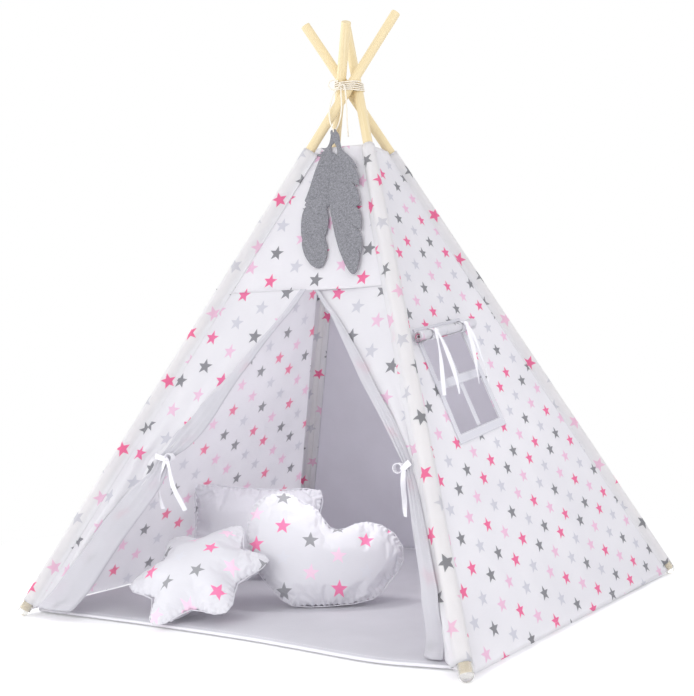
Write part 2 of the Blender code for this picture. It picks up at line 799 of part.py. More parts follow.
def make_feather(name, outline_shares, tip_share, drop, width, bend, layer):
    """A felt feather cut flat, with barbs along its edges and a hole at its stem."""
    frame, length = feather_frame(tip_share, drop, layer)
    data = bpy.data.curves.new(name, "CURVE")
    data.dimensions = "2D"
    data.fill_mode = "BOTH"
    data.extrude = feather_felt / 2
    left = []
    right = []
    for along, left_side, right_side in outline_shares:
        middle = -bend * math.sin(math.pi * max(0, along))
        left.append((middle - left_side * width / 2, -along * length))
        right.append((middle + right_side * width / 2, -along * length))
    points = right + list(reversed(left))
    hole_radius = feather_hole_diameter / 2
    ring = [(hole_radius * math.cos(math.tau * index / 10), hole_radius * math.sin(math.tau * index / 10))
            for index in range(10)]
    for outline in (points, ring):
        spline = data.splines.new("POLY")
        spline.points.add(len(outline) - 1)
        for place, (x, y) in zip(spline.points, outline):
            place.co = (x, y, 0, 1)
        spline.use_cyclic_u = True
    made = add_object(name, data, grey_felt)
    made.matrix_world = frame


def make_mat():
    shape = bmesh.new()
    bmesh.ops.create_cube(shape, size=1)
    bmesh.ops.scale(shape, vec=(mat_width, mat_depth, mat_thickness), verts=shape.verts)
    bmesh.ops.translate(shape, vec=(0, 0, mat_thickness / 2), verts=shape.verts)
    uprights = [edge for edge in shape.edges if abs(edge.verts[0].co.z - edge.verts[1].co.z) > seat_gap]
    bmesh.ops.bevel(shape, geom=uprights, offset=mat_corner_round, segments=4, affect="EDGES",
                    profile=0.5)
    made = add_mesh("floor_mat", shape, grey_cotton)
    edge = made.modifiers.new("soft_edge", "BEVEL")
    edge.width = mat_edge_round
    edge.segments = 2
    edge.limit_method = "ANGLE"
    edge.angle_limit = math.radians(60)
    shade(made)


def make_piping():
    """White piping round the edge of the mat."""
    radius = piping_diameter / 2
    reach = radius + seat_gap
    half_x = mat_width / 2 - mat_corner_round
    half_y = mat_depth / 2 - mat_corner_round
    points = []
    for corner, (side_x, side_y) in enumerate(((1, 1), (-1, 1), (-1, -1), (1, -1))):
        for index in range(5):
            angle = math.pi / 2 * (corner + index / 4)
            turn = Vector((math.cos(angle), math.sin(angle), 0)) * (mat_corner_round + reach)
            points.append(Vector((side_x * half_x, side_y * half_y, mat_thickness / 2)) + turn)
    tube("mat_piping", points, radius, white_cotton, detail=2, closed=True)


def softened(outline, rounds):
    """The outline with its corners and notches smoothed away, for the rings inside it."""
    points = [Vector((x, y, 0)) for x, y in outline]
    for _ in range(rounds):
        points = [(points[index - 1] + points[index] * 2 + points[(index + 1) % len(points)]) / 4
                  for index in range(len(points))]
    return points


def cushion(name, outline, thickness, place, surface, rings=5):
    """A crowned cushion: rings drawn in to the seam, thick in the middle, then subdivided."""
    count = len(outline)
    centre = sum((Vector((x, y, 0)) for x, y in outline), Vector()) / count
    shape = bmesh.new()
    crease = shape.edges.layers.float.new("crease_edge")
    seam = [shape.verts.new((x, y, 0)) for x, y in outline]
    for face_side in (1, -1):
        outer = seam
        for ring in range(1, rings):
            share = 1 - ring / rings
            lift = thickness / 2 * (1 - share ** 2) ** cushion_fullness_share * face_side
            inner = []
            for point in softened(outline, ring * ring):
                place_in = centre.lerp(point, share)
                inner.append(shape.verts.new((place_in.x, place_in.y, lift)))
            for index in range(count):
                after = (index + 1) % count
                face = [outer[index], outer[after], inner[after], inner[index]]
                shape.faces.new(face if face_side == 1 else reversed(face))
            outer = inner
        top = shape.verts.new((centre.x, centre.y, thickness / 2 * face_side))
        for index in range(count):
            after = (index + 1) % count
            face = [outer[index], outer[after], top]
            shape.faces.new(face if face_side == 1 else reversed(face))
    bmesh.ops.recalc_face_normals(shape, faces=shape.faces)
    for index in range(count):
        shape.edges.get((seam[index - 1], seam[index]))[crease] = seam_crease_share
    made = add_mesh(name, shape, surface)
    smooth = made.modifiers.new("soft", "SUBSURF")
    smooth.levels = 1
    smooth.render_levels = 1
    made.matrix_world = place
    seat(made, mat_thickness + seat_gap)
    shade(made)
    return made


def seat(made, height):
    """Drops a piece straight down until its lowest point is at a height."""
    bpy.context.view_layer.update()
    graph = bpy.context.evaluated_depsgraph_get()
    evaluated = made.evaluated_get(graph)
    lowest = min((made.matrix_world @ vert.co).z for vert in evaluated.data.vertices)
    made.matrix_world = Matrix.Translation((0, 0, height - lowest)) @ made.matrix_world


def leaning_place(x, y, turn, lean, roll=0.0):
    """Matrix of an upright piece: X to its right, Y up its face, Z out of its face."""
    right = Vector((math.cos(turn), math.sin(turn), 0))
    front = Vector((math.sin(turn), -math.cos(turn), 0))
    rise = up * math.cos(lean) - front * math.sin(lean)
    facing = front * math.cos(lean) + up * math.sin(lean)
    rotation = Matrix((right, rise, facing)).transposed().to_4x4()
    return Matrix.Translation((x, y, 0)) @ rotation @ Matrix.Rotation(roll, 4, "Z")


def make_star_cushion():
    """Six rounded arms; it lies tilted on the mat against the cloud."""
    outline = []
    for arm in range(6):
        tip_angle = math.pi / 6 + math.pi / 3 * arm + star_roll
        for turn_share, reach_share in star_arm_shares:
            angle = tip_angle + math.pi / 3 * turn_share
            radius = star_span / 2 * reach_share
            outline.append((radius * math.cos(angle), radius * math.sin(angle)))
    place = leaning_place(star_x, star_y, star_turn, math.pi / 2 - star_tilt)
    cushion("cushion_star", outline, star_thickness, place, star_cotton, rings=4)


def make_cloud_cushion():
    outline = [(across * cloud_width, climb * cloud_height) for across, climb in cloud_outline_shares]
    place = leaning_place(cloud_x, cloud_y, cloud_turn, cloud_lean)
    cushion("cushion_cloud", list(reversed(outline)), cloud_thickness, place, star_cotton, rings=5)


def make_pillow():
    """A plain rectangular pillow with drawn-in sides and pointed corners."""
    outline = []
    for corner in range(4):
        for index in range(7):
            share = index / 7
            x, y = 1 - 2 * share, 1 - pillow_draw_in_share * math.sin(math.pi * share)
            for _ in range(corner):
                x, y = -y, x
            outline.append((x * pillow_width / 2, (y + 1) * pillow_height / 2))
    place = leaning_place(pillow_x, pillow_y, pillow_turn, pillow_lean, pillow_roll)
    cushion("cushion_pillow", outline, pillow_thickness, place, pale_cotton, rings=4)


for corner_name in corner_signs:
    make_pole(corner_name)
    make_foot_cap(corner_name)
    make_sleeve(corner_name)

make_panel("canopy_left", "left", hem_height, canopy_top_height, star_cotton)
make_panel("canopy_back", "back", hem_height, canopy_top_height, pale_cotton)
make_panel("canopy_front", "front", seam_height, canopy_top_height, star_cotton)
cut_window(make_panel("canopy_right", "right", hem_height, canopy_top_height, star_cotton))
make_window_border()
make_window_tapes()
make_window_roll()
make_window_tie("window_tie_near", window_front_y + near_tie_inset, near_tail_swings)
make_window_tie("window_tie_far", window_back_y - far_tie_inset, far_tail_swings)
for left in (True, False):
    make_flap(left)
    make_door_tie(left)
make_knot(make_lashing())
tube("lashing_tail", smooth_route(tail_route, cord_diameter * 3), cord_radius, rope_cotton)
tube("feather_cord", smooth_route(feather_cord_route, cord_diameter * 2.5), cord_radius, rope_cotton)
make_feather("feather_left", left_feather_shares, left_feather_tip_share, left_feather_drop,
             left_feather_width, left_feather_bend, 0)
make_feather("feather_right", right_feather_shares, right_feather_tip_share, right_feather_drop,
             right_feather_width, right_feather_bend, 1)
make_mat()
make_piping()
make_star_cushion()
make_cloud_cushion()
make_pillow()
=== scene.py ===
# Kids' play teepee: cloth, cords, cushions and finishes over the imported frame.
# Metres, origin on the floor under the crossing, door towards -Y, window in the +X panel.
import math
from functools import partial

import bmesh
import bpy
from mathutils import Matrix, Vector, kdtree, noise


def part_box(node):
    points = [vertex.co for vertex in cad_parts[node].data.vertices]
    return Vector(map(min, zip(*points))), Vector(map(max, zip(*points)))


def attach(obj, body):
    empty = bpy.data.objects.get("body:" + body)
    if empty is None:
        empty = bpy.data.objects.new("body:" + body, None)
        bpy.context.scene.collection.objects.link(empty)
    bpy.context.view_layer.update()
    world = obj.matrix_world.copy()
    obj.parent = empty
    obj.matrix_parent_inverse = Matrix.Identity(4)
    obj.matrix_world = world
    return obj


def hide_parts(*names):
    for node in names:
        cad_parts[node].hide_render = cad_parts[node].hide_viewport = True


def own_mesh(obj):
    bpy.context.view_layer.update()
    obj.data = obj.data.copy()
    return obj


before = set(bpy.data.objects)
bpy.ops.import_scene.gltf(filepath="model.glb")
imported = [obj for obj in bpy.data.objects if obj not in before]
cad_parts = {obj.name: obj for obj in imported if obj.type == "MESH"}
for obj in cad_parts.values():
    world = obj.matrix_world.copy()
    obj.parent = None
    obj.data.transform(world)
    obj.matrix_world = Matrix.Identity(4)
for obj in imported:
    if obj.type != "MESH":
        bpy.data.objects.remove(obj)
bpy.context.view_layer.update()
up = Vector((0, 0, 1))
seatGap = 0.0003

poleSizes = {
    "baseWidth": 1.213, "baseDepth": 1.152, "crossingHeight": 1.278, "crossingOffset": 0.022,
    "radius": 0.012, "reach": 0.0150,
}
canopySizes = {
    "hem": 0.022, "lowHem": 0.009, "seam": 0.766, "seamLap": 0.0022, "top": 1.119,
    "cloth": 0.0012, "sag": 0.008, "hemWidth": 0.018, "hemLift": 0.0006, "wrinkle": 0.0020,
    "foldKeep": 0.06,
}


def addPiece(name, data, *materials):
    piece = bpy.data.objects.new(name, data)
    bpy.context.scene.collection.objects.link(piece)
    for surface in materials:
        data.materials.append(surface)
    return piece


# The camera stands at the photograph's angle
cameraSizes = {
    "azimuth": 34.814, "elevation": 0.465, "distance": 3.01835, "aimHeight": 0.6141,
    "roll": -1.513, "focalPixels": 1195.33, "shiftPixels": (-9.088, 2.772), "widthPixels": 694,
}


def makeCamera():
    sizes = cameraSizes
    azimuth, elevation, roll = (math.radians(sizes[name])
                                for name in ("azimuth", "elevation", "roll"))
    back = Vector((math.sin(azimuth) * math.cos(elevation),
                   -math.cos(azimuth) * math.cos(elevation), math.sin(elevation)))
    right = (-back).cross(up).normalized()
    rise = right.cross(-back)
    turnedRight = right * math.cos(roll) + rise * math.sin(roll)
    turnedUp = rise * math.cos(roll) - right * math.sin(roll)
    data = bpy.data.cameras.new("studioCamera")
    data.sensor_width = 36
    data.sensor_fit = "HORIZONTAL"
    data.lens = sizes["focalPixels"] * data.sensor_width / sizes["widthPixels"]
    data.shift_x, data.shift_y = (shift / sizes["widthPixels"] for shift in sizes["shiftPixels"])
    camera = addPiece("studioCamera", data)
    turn = Matrix((turnedRight, turnedUp, back)).transposed().to_4x4()
    place = Vector((0, 0, sizes["aimHeight"])) + back * sizes["distance"]
    camera.matrix_world = Matrix.Translation(place) @ turn
    bpy.context.scene.camera = camera


makeCamera()
print("camera placed")


# Poles and canopy planes, worked out as the solids are
class Pole:
    def __init__(self, signX, signY):
        foot = Vector((signX * poleSizes["baseWidth"] / 2, signY * poleSizes["baseDepth"] / 2, 0))
        self.outward = foot.normalized()
        self.sideways = up.cross(self.outward)
        self.tilt = math.atan(foot.length / poleSizes["crossingHeight"])
        self.crossing = (self.sideways * poleSizes["crossingOffset"]
                         + up * poleSizes["crossingHeight"])
        self.down = self.outward * math.sin(self.tilt) - up * math.cos(self.tilt)

    def atHeight(self, height):
        drop = poleSizes["crossingHeight"] - height
        return self.crossing + self.down * (drop / math.cos(self.tilt))


poles = {"front_left": Pole(-1, -1), "front_right": Pole(1, -1),
         "back_right": Pole(1, 1), "back_left": Pole(-1, 1)}
sideCorners = {"front": ("front_left", "front_right"), "right": ("front_right", "back_right"),
               "back": ("back_right", "back_left"), "left": ("back_left", "front_left")}


def sideEnds(side, height):
    # Where a panel meets its two sleeves at one height
    first, second = (poles[corner] for corner in sideCorners[side])
    start, end = first.atHeight(height), second.atHeight(height)
    along = (end - start).normalized()
    startInset, endInset = (poleSizes["reach"] / math.sqrt(1 - along.dot(pole.down) ** 2)
                            for pole in (first, second))
    return start + along * startInset, end - along * endInset


def sideAxes(side):
    # Level direction, rise up the slope and outward direction of a panel
    first, second = (poles[corner] for corner in sideCorners[side])
    along = (second.atHeight(0) - first.atHeight(0)).normalized()
    lean = first.atHeight(0) - first.crossing
    outward = along.cross(-lean + along * along.dot(lean)).normalized()
    return along, outward.cross(along), outward


def panelHang(share, height):
    climb = (height - canopySizes["hem"]) / (canopySizes["top"] - canopySizes["hem"])
    return canopySizes["sag"] * 4 * share * (1 - share) * math.sin(math.pi * min(1, max(0, climb)))


def panelWrinkle(side, share, height):
    # Slight folds that run down the cloth, and softer waves near the hem
    seed = 7.3 * len(side)
    quiet = min(1, 6 * share * (1 - share) * 2)
    folds = noise.noise(Vector((share * 9 + seed, height * 1.3, seed)))
    waves = noise.noise(Vector((share * 3.1, height * 3.7 + seed, 2.0)))
    ripple = math.sin(share * 46 + 3 * waves) * max(0, 1 - height / 0.35) * 0.5
    return canopySizes["wrinkle"] * quiet * (folds + 0.8 * waves + 0.5 * ripple)


def panelPoint(side, share, height, outward=0.0, wrinkled=True):
    start, end = sideEnds(side, height)
    fold = panelWrinkle(side, share, height) if wrinkled else 0
    return start.lerp(end, share) + sideAxes(side)[2] * (outward + fold - panelHang(share, height))


def shareAlong(side, height, place):
    start, end = sideEnds(side, height)
    axis = 0 if side in ("front", "back") else 1
    return (place - start[axis]) / (end[axis] - start[axis])


# The right panel was cut slightly askew: its print leans and the rows climb to the back
askewPrint = {"lean": 0.10, "along": 0.0313, "climb": 0.084, "squeeze": 1.2, "down": 0.0041}


def panelUv(side, point):
    along, rise, _ = sideAxes(side)
    level, climb = point.dot(along), point.dot(rise)
    if side == "right":
        askew = askewPrint
        return (level - askew["lean"] * climb + askew["along"],
                (climb - askew["climb"] * level) * askew["squeeze"] - askew["down"])
    return level, climb


def stepsBetween(start, end, count):
    return [start + (end - start) * index / count for index in range(count + 1)]


def stepsThrough(first, *spans):
    # The same through several spans, each with its end and its number of steps
    made = [first]
    for end, count in spans:
        made += stepsBetween(first, end, count)[1:]
        first = end
    return made


def eased(share):
    share = min(1, max(0, share))
    return share * share * (3 - 2 * share)


# Small helpers for meshes and routes
def meshFrom(name, shape):
    data = bpy.data.meshes.new(name)
    shape.to_mesh(data)
    shape.free()
    return data


def bakedMesh(holder):
    graph = bpy.context.evaluated_depsgraph_get()
    return bpy.data.meshes.new_from_object(holder.evaluated_get(graph))


def pieceFrom(name, shape, *materials):
    data = meshFrom(name, shape)
    data.shade_smooth()
    data.set_sharp_from_angle(angle=math.radians(50))
    return addPiece(name, data, *materials)


def gridSheet(name, rows, uvRows, materials, thickness, offset=-1.0, closed=False, skip=None):
    # A cloth sheet through rows of points, with its flat cloth places as UV
    shape = bmesh.new()
    uvLayer = shape.loops.layers.uv.new("UVMap")
    grid = [[shape.verts.new(point) for point in row] for row in rows]
    for row in range(len(rows) - 1):
        count = len(rows[row])
        for column in range(count if closed else count - 1):
            if skip and skip(row, column):
                continue
            after = (column + 1) % count
            corners = ((row, column), (row + 1, column), (row + 1, after), (row, after))
            face = shape.faces.new([grid[r][c] for r, c in corners])
            for loop, (r, c) in zip(face.loops, corners):
                wrapped = closed and c == 0 and column == count - 1
                loop[uvLayer].uv = uvRows[r][count] if wrapped else uvRows[r][c]
    loose = [vert for vert in shape.verts if not vert.link_faces]
    bmesh.ops.delete(shape, geom=loose, context="VERTS")
    piece = pieceFrom(name, shape, *materials)
    wall = piece.modifiers.new("clothWall", "SOLIDIFY")
    wall.thickness = thickness
    wall.offset = offset
    if len(materials) > 1:
        wall.material_offset = 1
        wall.material_offset_rim = 0
    return piece


def smoothRoute(points, step):
    # Points along a smooth curve through the given ones, about one step apart
    route = [Vector(point) for point in points]
    route = [route[0] * 2 - route[1]] + route + [route[-1] * 2 - route[-2]]
    made = []
    for before, start, end, after in zip(route, route[1:], route[2:], route[3:]):
        count = max(1, round((end - start).length / step))
        for index in range(count):
            share = index / count
            made.append(0.5 * (2 * start + (end - before) * share
                               + (2 * before - 5 * start + 4 * end - after) * share ** 2
                               + (3 * start - before - 3 * end + after) * share ** 3))
    return made + [route[-2]]


def routeLength(points):
    return sum((second - first).length for first, second in zip(points, points[1:]))


def runsAlong(points):
    # The length run up to each point
    runs = [0.0]
    for first, second in zip(points, points[1:]):
        runs.append(runs[-1] + (second - first).length)
    return runs


def dress(piece, node, slotName, body=None, stitches=None, stitchSlot="white_cotton", fold=None):
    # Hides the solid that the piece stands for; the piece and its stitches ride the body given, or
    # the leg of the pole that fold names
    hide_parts(node)
    for cloth, slot in ((piece, slotName), (stitches, stitchSlot)):
        if cloth:
            if fold:
                foldTowards(cloth, *fold)
            else:
                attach(cloth, body)


def addTube(shape, points, radiusAt, sides, closed=False):
    # Sweeps a ring along the points; radiusAt takes the length run so far and the angle
    uvLayer = shape.loops.layers.uv.verify()
    count, normal = len(points), None
    rings, runs = [], runsAlong(points)
    for index, (point, run) in enumerate(zip(points, runs)):
        before = points[index - 1] if index or closed else point
        after = points[(index + 1) % count] if index < count - 1 or closed else point
        tangent = (after - before).normalized()
        if normal is None:
            normal = tangent.orthogonal()
        normal = (normal - tangent * normal.dot(tangent)).normalized()
        side = tangent.cross(normal)
        ring = []
        for step in range(sides):
            angle = math.tau * step / sides
            reach = radiusAt(run, angle)
            ring.append(shape.verts.new(point + (normal * math.cos(angle)
                                                 + side * math.sin(angle)) * reach))
        rings.append(ring)
    pairs = list(zip(range(count - 1), range(1, count)))
    if closed:
        pairs.append((count - 1, 0))
    for first, second in pairs:
        for step in range(sides):
            after = (step + 1) % sides
            face = shape.faces.new((rings[first][step], rings[first][after],
                                    rings[second][after], rings[second][step]))
            places = ((runs[first], step), (runs[first], step + 1),
                      (runs[second], step + 1), (runs[second], step))
            for loop, (length, turn) in zip(face.loops, places):
                loop[uvLayer].uv = (length, turn / sides)
    if not closed:
        for ring, point, flip in ((rings[0], points[0], True), (rings[-1], points[-1], False)):
            tip = shape.verts.new(sum((vert.co for vert in ring), Vector()) / sides)
            for step in range(sides):
                after = (step + 1) % sides
                corners = (ring[step], ring[after], tip)
                shape.faces.new(tuple(reversed(corners)) if flip else corners)


# Materials
def addNode(tree, kind, inputs=None, **settings):
    # A node with its settings; an input takes a plain value or another node's socket
    node = tree.nodes.new(kind)
    for label, value in settings.items():
        setattr(node, label, value)
    for label, value in (inputs or {}).items():
        if isinstance(value, bpy.types.NodeSocket):
            tree.links.new(value, node.inputs[label])
        else:
            node.inputs[label].default_value = value
    return node


def mathNode(tree, operation, *values, clamp=False):
    return addNode(tree, "ShaderNodeMath", dict(enumerate(values)), operation=operation,
                   use_clamp=clamp).outputs[0]


def mixNode(tree, share, first, second):
    first, second = ((*tint, 1) if isinstance(tint, tuple) else tint for tint in (first, second))
    return addNode(tree, "ShaderNodeMix", {"Factor": share, 6: first, 7: second},
                   data_type="RGBA").outputs[2]


def noiseNode(tree, place, scale, detail=3.0, roughness=0.5):
    return addNode(tree, "ShaderNodeTexNoise", {"Vector": place, "Scale": scale, "Detail": detail,
                                                "Roughness": roughness}).outputs["Fac"]


def stretchNode(tree, place, factors):
    return addNode(tree, "ShaderNodeVectorMath", {0: place, 1: factors},
                   operation="MULTIPLY").outputs[0]


def splitNode(tree, place):
    return addNode(tree, "ShaderNodeSeparateXYZ", {0: place}).outputs[:2]


def uvPlace(tree):
    return addNode(tree, "ShaderNodeUVMap", uv_map="UVMap").outputs[0]


def objectPlace(tree):
    return tree.nodes.new("ShaderNodeTexCoord").outputs["Object"]


def linear(hexColour):
    parts = [int(hexColour[index:index + 2], 16) / 255 for index in (1, 3, 5)]
    return tuple(part / 12.92 if part <= 0.04045 else ((part + 0.055) / 1.055) ** 2.4
                 for part in parts)


def rampNode(tree, factor, stops, interpolation="LINEAR"):
    ramp = addNode(tree, "ShaderNodeValToRGB", {0: factor})
    ramp.color_ramp.interpolation = interpolation
    elements = ramp.color_ramp.elements
    for index, (position, tint) in enumerate(stops):
        stop = elements[index] if index < 2 else elements.new(position)
        stop.position, stop.color = position, (*linear(tint), 1)
    return ramp.outputs[0]


def newGroup(name, kind, inputs, outputs):
    # A node tree with named inputs, each with its kind and value, and named outputs
    group = bpy.data.node_groups.new(name, kind)
    for label, (socketKind, value) in inputs.items():
        socket = group.interface.new_socket(label, in_out="INPUT",
                                            socket_type="NodeSocket" + socketKind)
        if value is not None:
            socket.default_value = value
    for label, socketKind in outputs.items():
        group.interface.new_socket(label, in_out="OUTPUT", socket_type="NodeSocket" + socketKind)
    return group, group.nodes.new("NodeGroupInput"), group.nodes.new("NodeGroupOutput")


printSizes = {
    "columnPitch": 0.065, "rowPitch": 0.0745, "reach": 0.0205, "innerShare": 0.42, "turn": -0.09,
    "turnSpread": 0.05, "soft": 0.0004,
    "pink": "#fc86b4", "grey": "#a0a0a4", "palePink": "#fbd9ec", "paleGrey": "#e4e4ea",
    "repeat": (("pink", "palePink", "grey"), ("palePink", "paleGrey", "pink"),
               ("grey", "paleGrey", "pink"), ("paleGrey", "palePink", "grey")),
}


def makePrintGroup():
    # Five-pointed stars in staggered columns; the tints repeat every four columns and three rows
    sizes = printSizes
    group, start, end = newGroup("starPrint", "ShaderNodeTree", {"Place": ("Vector", None)},
                                 {"Mask": "Float", "Tint": "Color"})
    calc = partial(mathNode, group)
    across, climb = splitNode(group, start.outputs[0])
    column = calc("DIVIDE", across, sizes["columnPitch"])
    columnIndex = calc("FLOOR", column)
    stagger = calc("MULTIPLY", calc("FLOORED_MODULO", columnIndex, 2.0), 0.5)
    row = calc("ADD", calc("DIVIDE", climb, sizes["rowPitch"]), stagger)
    rowIndex = calc("FLOOR", row)
    localX, localY = (
        calc("MULTIPLY", calc("SUBTRACT", calc("SUBTRACT", place, index), 0.5), sizes[pitch])
        for place, index, pitch in ((column, columnIndex, "columnPitch"),
                                    (row, rowIndex, "rowPitch")))
    cell = addNode(group, "ShaderNodeCombineXYZ", {0: columnIndex, 1: rowIndex})
    chance = addNode(group, "ShaderNodeTexWhiteNoise", noise_dimensions="2D")
    group.links.new(cell.outputs[0], chance.inputs["Vector"])
    # The angle is folded into one tenth of a turn, where an arm's edge is one straight line
    tenth = math.pi / 5
    jitter = calc("MULTIPLY", calc("SUBTRACT", chance.outputs[0], 0.5), sizes["turnSpread"])
    angle = calc("ADD", calc("ARCTAN2", localX, localY), calc("ADD", jitter, sizes["turn"]))
    turnShare = calc("FRACT", calc("ADD", calc("DIVIDE", angle, 2 * tenth), 10.5))
    folded = calc("MULTIPLY", calc("ABSOLUTE", calc("SUBTRACT", turnShare, 0.5)), 2 * tenth)
    radius = calc("SQRT", calc("ADD", calc("MULTIPLY", localX, localX),
                               calc("MULTIPLY", localY, localY)))
    reach, inner = sizes["reach"], sizes["reach"] * sizes["innerShare"]
    edgeX, edgeY = inner * math.cos(tenth) - reach, inner * math.sin(tenth)
    length = math.hypot(edgeX, edgeY)
    alongTip = calc("SUBTRACT", calc("MULTIPLY", radius, calc("COSINE", folded)), reach)
    outX = calc("MULTIPLY", alongTip, edgeY / length)
    outY = calc("MULTIPLY", calc("MULTIPLY", radius, calc("SINE", folded)), -edgeX / length)
    mask = calc("MULTIPLY_ADD", calc("ADD", outX, outY), -0.5 / sizes["soft"], 0.5, clamp=True)
    columns, rows = len(sizes["repeat"]), len(sizes["repeat"][0])
    place = calc("MULTIPLY_ADD", calc("FLOORED_MODULO", columnIndex, float(columns)), float(rows),
                 calc("FLOORED_MODULO", rowIndex, float(rows)))
    tints = [sizes[name] for names in sizes["repeat"] for name in names]
    tint = rampNode(group, calc("MULTIPLY_ADD", place, 1 / len(tints), 0.5 / len(tints)),
                    [(index / len(tints), tint) for index, tint in enumerate(tints)], "CONSTANT")
    group.links.new(mask, end.inputs[0])
    group.links.new(tint, end.inputs[1])
    return group


def makeWeaveGroup():
    # Plain weave: crossing threads as height, with slubs
    group, start, end = newGroup("plainWeave", "ShaderNodeTree",
                                 {"Place": ("Vector", None), "Thread": ("Float", 0.0006)},
                                 {"Height": "Float", "Slub": "Float"})
    calc = partial(mathNode, group)
    perThread = calc("DIVIDE", math.pi, start.outputs["Thread"])
    first, second = (calc("SINE", calc("MULTIPLY", place, perThread))
                     for place in splitNode(group, start.outputs["Place"]))
    group.links.new(calc("MULTIPLY_ADD", calc("MULTIPLY", first, second), 0.5, 0.5),
                    end.inputs["Height"])
    slubPlace = stretchNode(group, start.outputs["Place"], (60, 900, 60))
    group.links.new(noiseNode(group, slubPlace, 1.0, 2.0), end.inputs["Slub"])
    return group


printGroup = makePrintGroup()
weaveGroup = makeWeaveGroup()


def startMaterial(name, roughness, sheen=0.0, specular=0.3):
    made = bpy.data.materials.new(name)
    made.use_nodes = True
    shader = made.node_tree.nodes["Principled BSDF"]
    shader.inputs["Roughness"].default_value = roughness
    shader.inputs["Specular IOR Level"].default_value = specular
    if sheen:
        shader.inputs["Sheen Weight"].default_value = sheen
        shader.inputs["Sheen Roughness"].default_value = 0.4
    return made, made.node_tree, shader


def addBump(tree, shader, *heights):
    # Heights are pairs of a socket and its depth in metres
    normal = {}
    for height, depth in heights:
        bump = addNode(tree, "ShaderNodeBump", {"Distance": depth, "Strength": 1.0,
                                                "Height": height, **normal})
        normal = {"Normal": bump.outputs[0]}
    tree.links.new(normal["Normal"], shader.inputs["Normal"])


def clothMaterial(name, colour, printed=0.0, thread=0.0006, creaseDepth=0.0012, sheen=0.15,
                  mottle=0.03, through=0.0):
    # printed is the strength of the ink, through the share of the light that thin cloth lets pass
    made, tree, shader = startMaterial(name, 0.9, sheen, 0.2)
    place, bodyPlace = uvPlace(tree), objectPlace(tree)
    base = linear(colour)
    surface = mixNode(tree, noiseNode(tree, bodyPlace, 9.0, 4.0),
                      tuple(part * (1 - mottle * 2) for part in base),
                      tuple(min(1, part * (1 + mottle)) for part in base))
    if printed:
        stars = addNode(tree, "ShaderNodeGroup", node_tree=printGroup)
        tree.links.new(place, stars.inputs["Place"])
        worn = mathNode(tree, "MULTIPLY_ADD", noiseNode(tree, place, 900.0, 2.0), 0.12,
                        printed - 0.06)
        ink = mathNode(tree, "MULTIPLY", stars.outputs["Mask"], worn)
        surface = mixNode(tree, ink, surface, stars.outputs["Tint"])
    weave = addNode(tree, "ShaderNodeGroup", node_tree=weaveGroup)
    weave.inputs["Thread"].default_value = thread
    tree.links.new(place, weave.inputs["Place"])
    shade = mathNode(tree, "MULTIPLY_ADD", weave.outputs["Slub"], 0.10, 0.95, clamp=True)
    toned = addNode(tree, "ShaderNodeVectorMath", {0: surface, "Scale": shade}, operation="SCALE")
    tree.links.new(toned.outputs[0], shader.inputs["Base Color"])
    creases = noiseNode(tree, bodyPlace, 22.0, 3.0, 0.55)
    addBump(tree, shader, (weave.outputs["Height"], thread * 0.25), (creases, creaseDepth))
    if through:
        glow = addNode(tree, "ShaderNodeBsdfTranslucent", {"Color": toned.outputs[0]})
        blend = addNode(tree, "ShaderNodeMixShader", {0: through, 1: shader.outputs[0],
                                                      2: glow.outputs[0]})
        tree.links.new(blend.outputs[0], tree.nodes["Material Output"].inputs["Surface"])
    return made


clothFinishes = {
    "starCotton": {"colour": "#fcfbfe", "printed": 0.97, "through": 0.44},
    "starCottonInside": {"colour": "#f8f7fb", "printed": 0.62, "through": 0.44},
    # The cushions' star cotton is a darker copy of the panels' star cotton: its greyer base colour
    # is painted shade that tones down the cushions' strongly lit upward-facing surfaces.
    "starCottonFilledShaded": {"colour": "#e6e5ea", "printed": 0.97},
    # The door lining is plain unprinted cloth; its grey is partly its own tone and partly painted
    # shade that darkens the turned-back lapels.
    "doorLiningShaded": {"colour": "#e6e5ea", "through": 0.38},
    "greyCotton": {"colour": "#dcdae1", "mottle": 0.04, "through": 0.48},
    "paleCotton": {"colour": "#dcdbe2", "creaseDepth": 0.0006},
    "ribbonCotton": {"colour": "#f4f3f7", "thread": 0.0009, "creaseDepth": 0.0004, "sheen": 0.25},
    "matCotton": {"colour": "#d9d8de", "creaseDepth": 0.0015, "mottle": 0.05},
    "pillowCotton": {"colour": "#e9e8ee"},
    "sewingThread": {"colour": "#fbfafd", "thread": 0.0003, "creaseDepth": 0.0001},
}
(starCloth, starInside, starFilledShaded, shadedLiningCloth, backCloth, borderCloth, ribbonCloth, matCloth,
 pillowCloth, threadCloth) = (clothMaterial(name, **finish)
                              for name, finish in clothFinishes.items())


def ropeMaterial():
    made, tree, shader = startMaterial("ropeCotton", 0.85, 0.3, 0.25)
    length, turn = splitNode(tree, uvPlace(tree))
    # Fibres run round the strands, steeper than the lay of the rope
    fibre = mathNode(tree, "SINE", mathNode(tree, "MULTIPLY_ADD", length, 9000.0,
                                            mathNode(tree, "MULTIPLY", turn, 60.0)))
    fine = mathNode(tree, "MULTIPLY_ADD", fibre, 0.5, 0.5)
    mottle = noiseNode(tree, objectPlace(tree), 400.0, 3.0)
    share = mathNode(tree, "MULTIPLY_ADD", mottle, 0.7, mathNode(tree, "MULTIPLY", fine, 0.3),
                     clamp=True)
    tree.links.new(mixNode(tree, share, linear("#e6dccb"), linear("#fbf6ea")),
                   shader.inputs["Base Color"])
    addBump(tree, shader, (fine, 0.0001), (mottle, 0.0003))
    return made


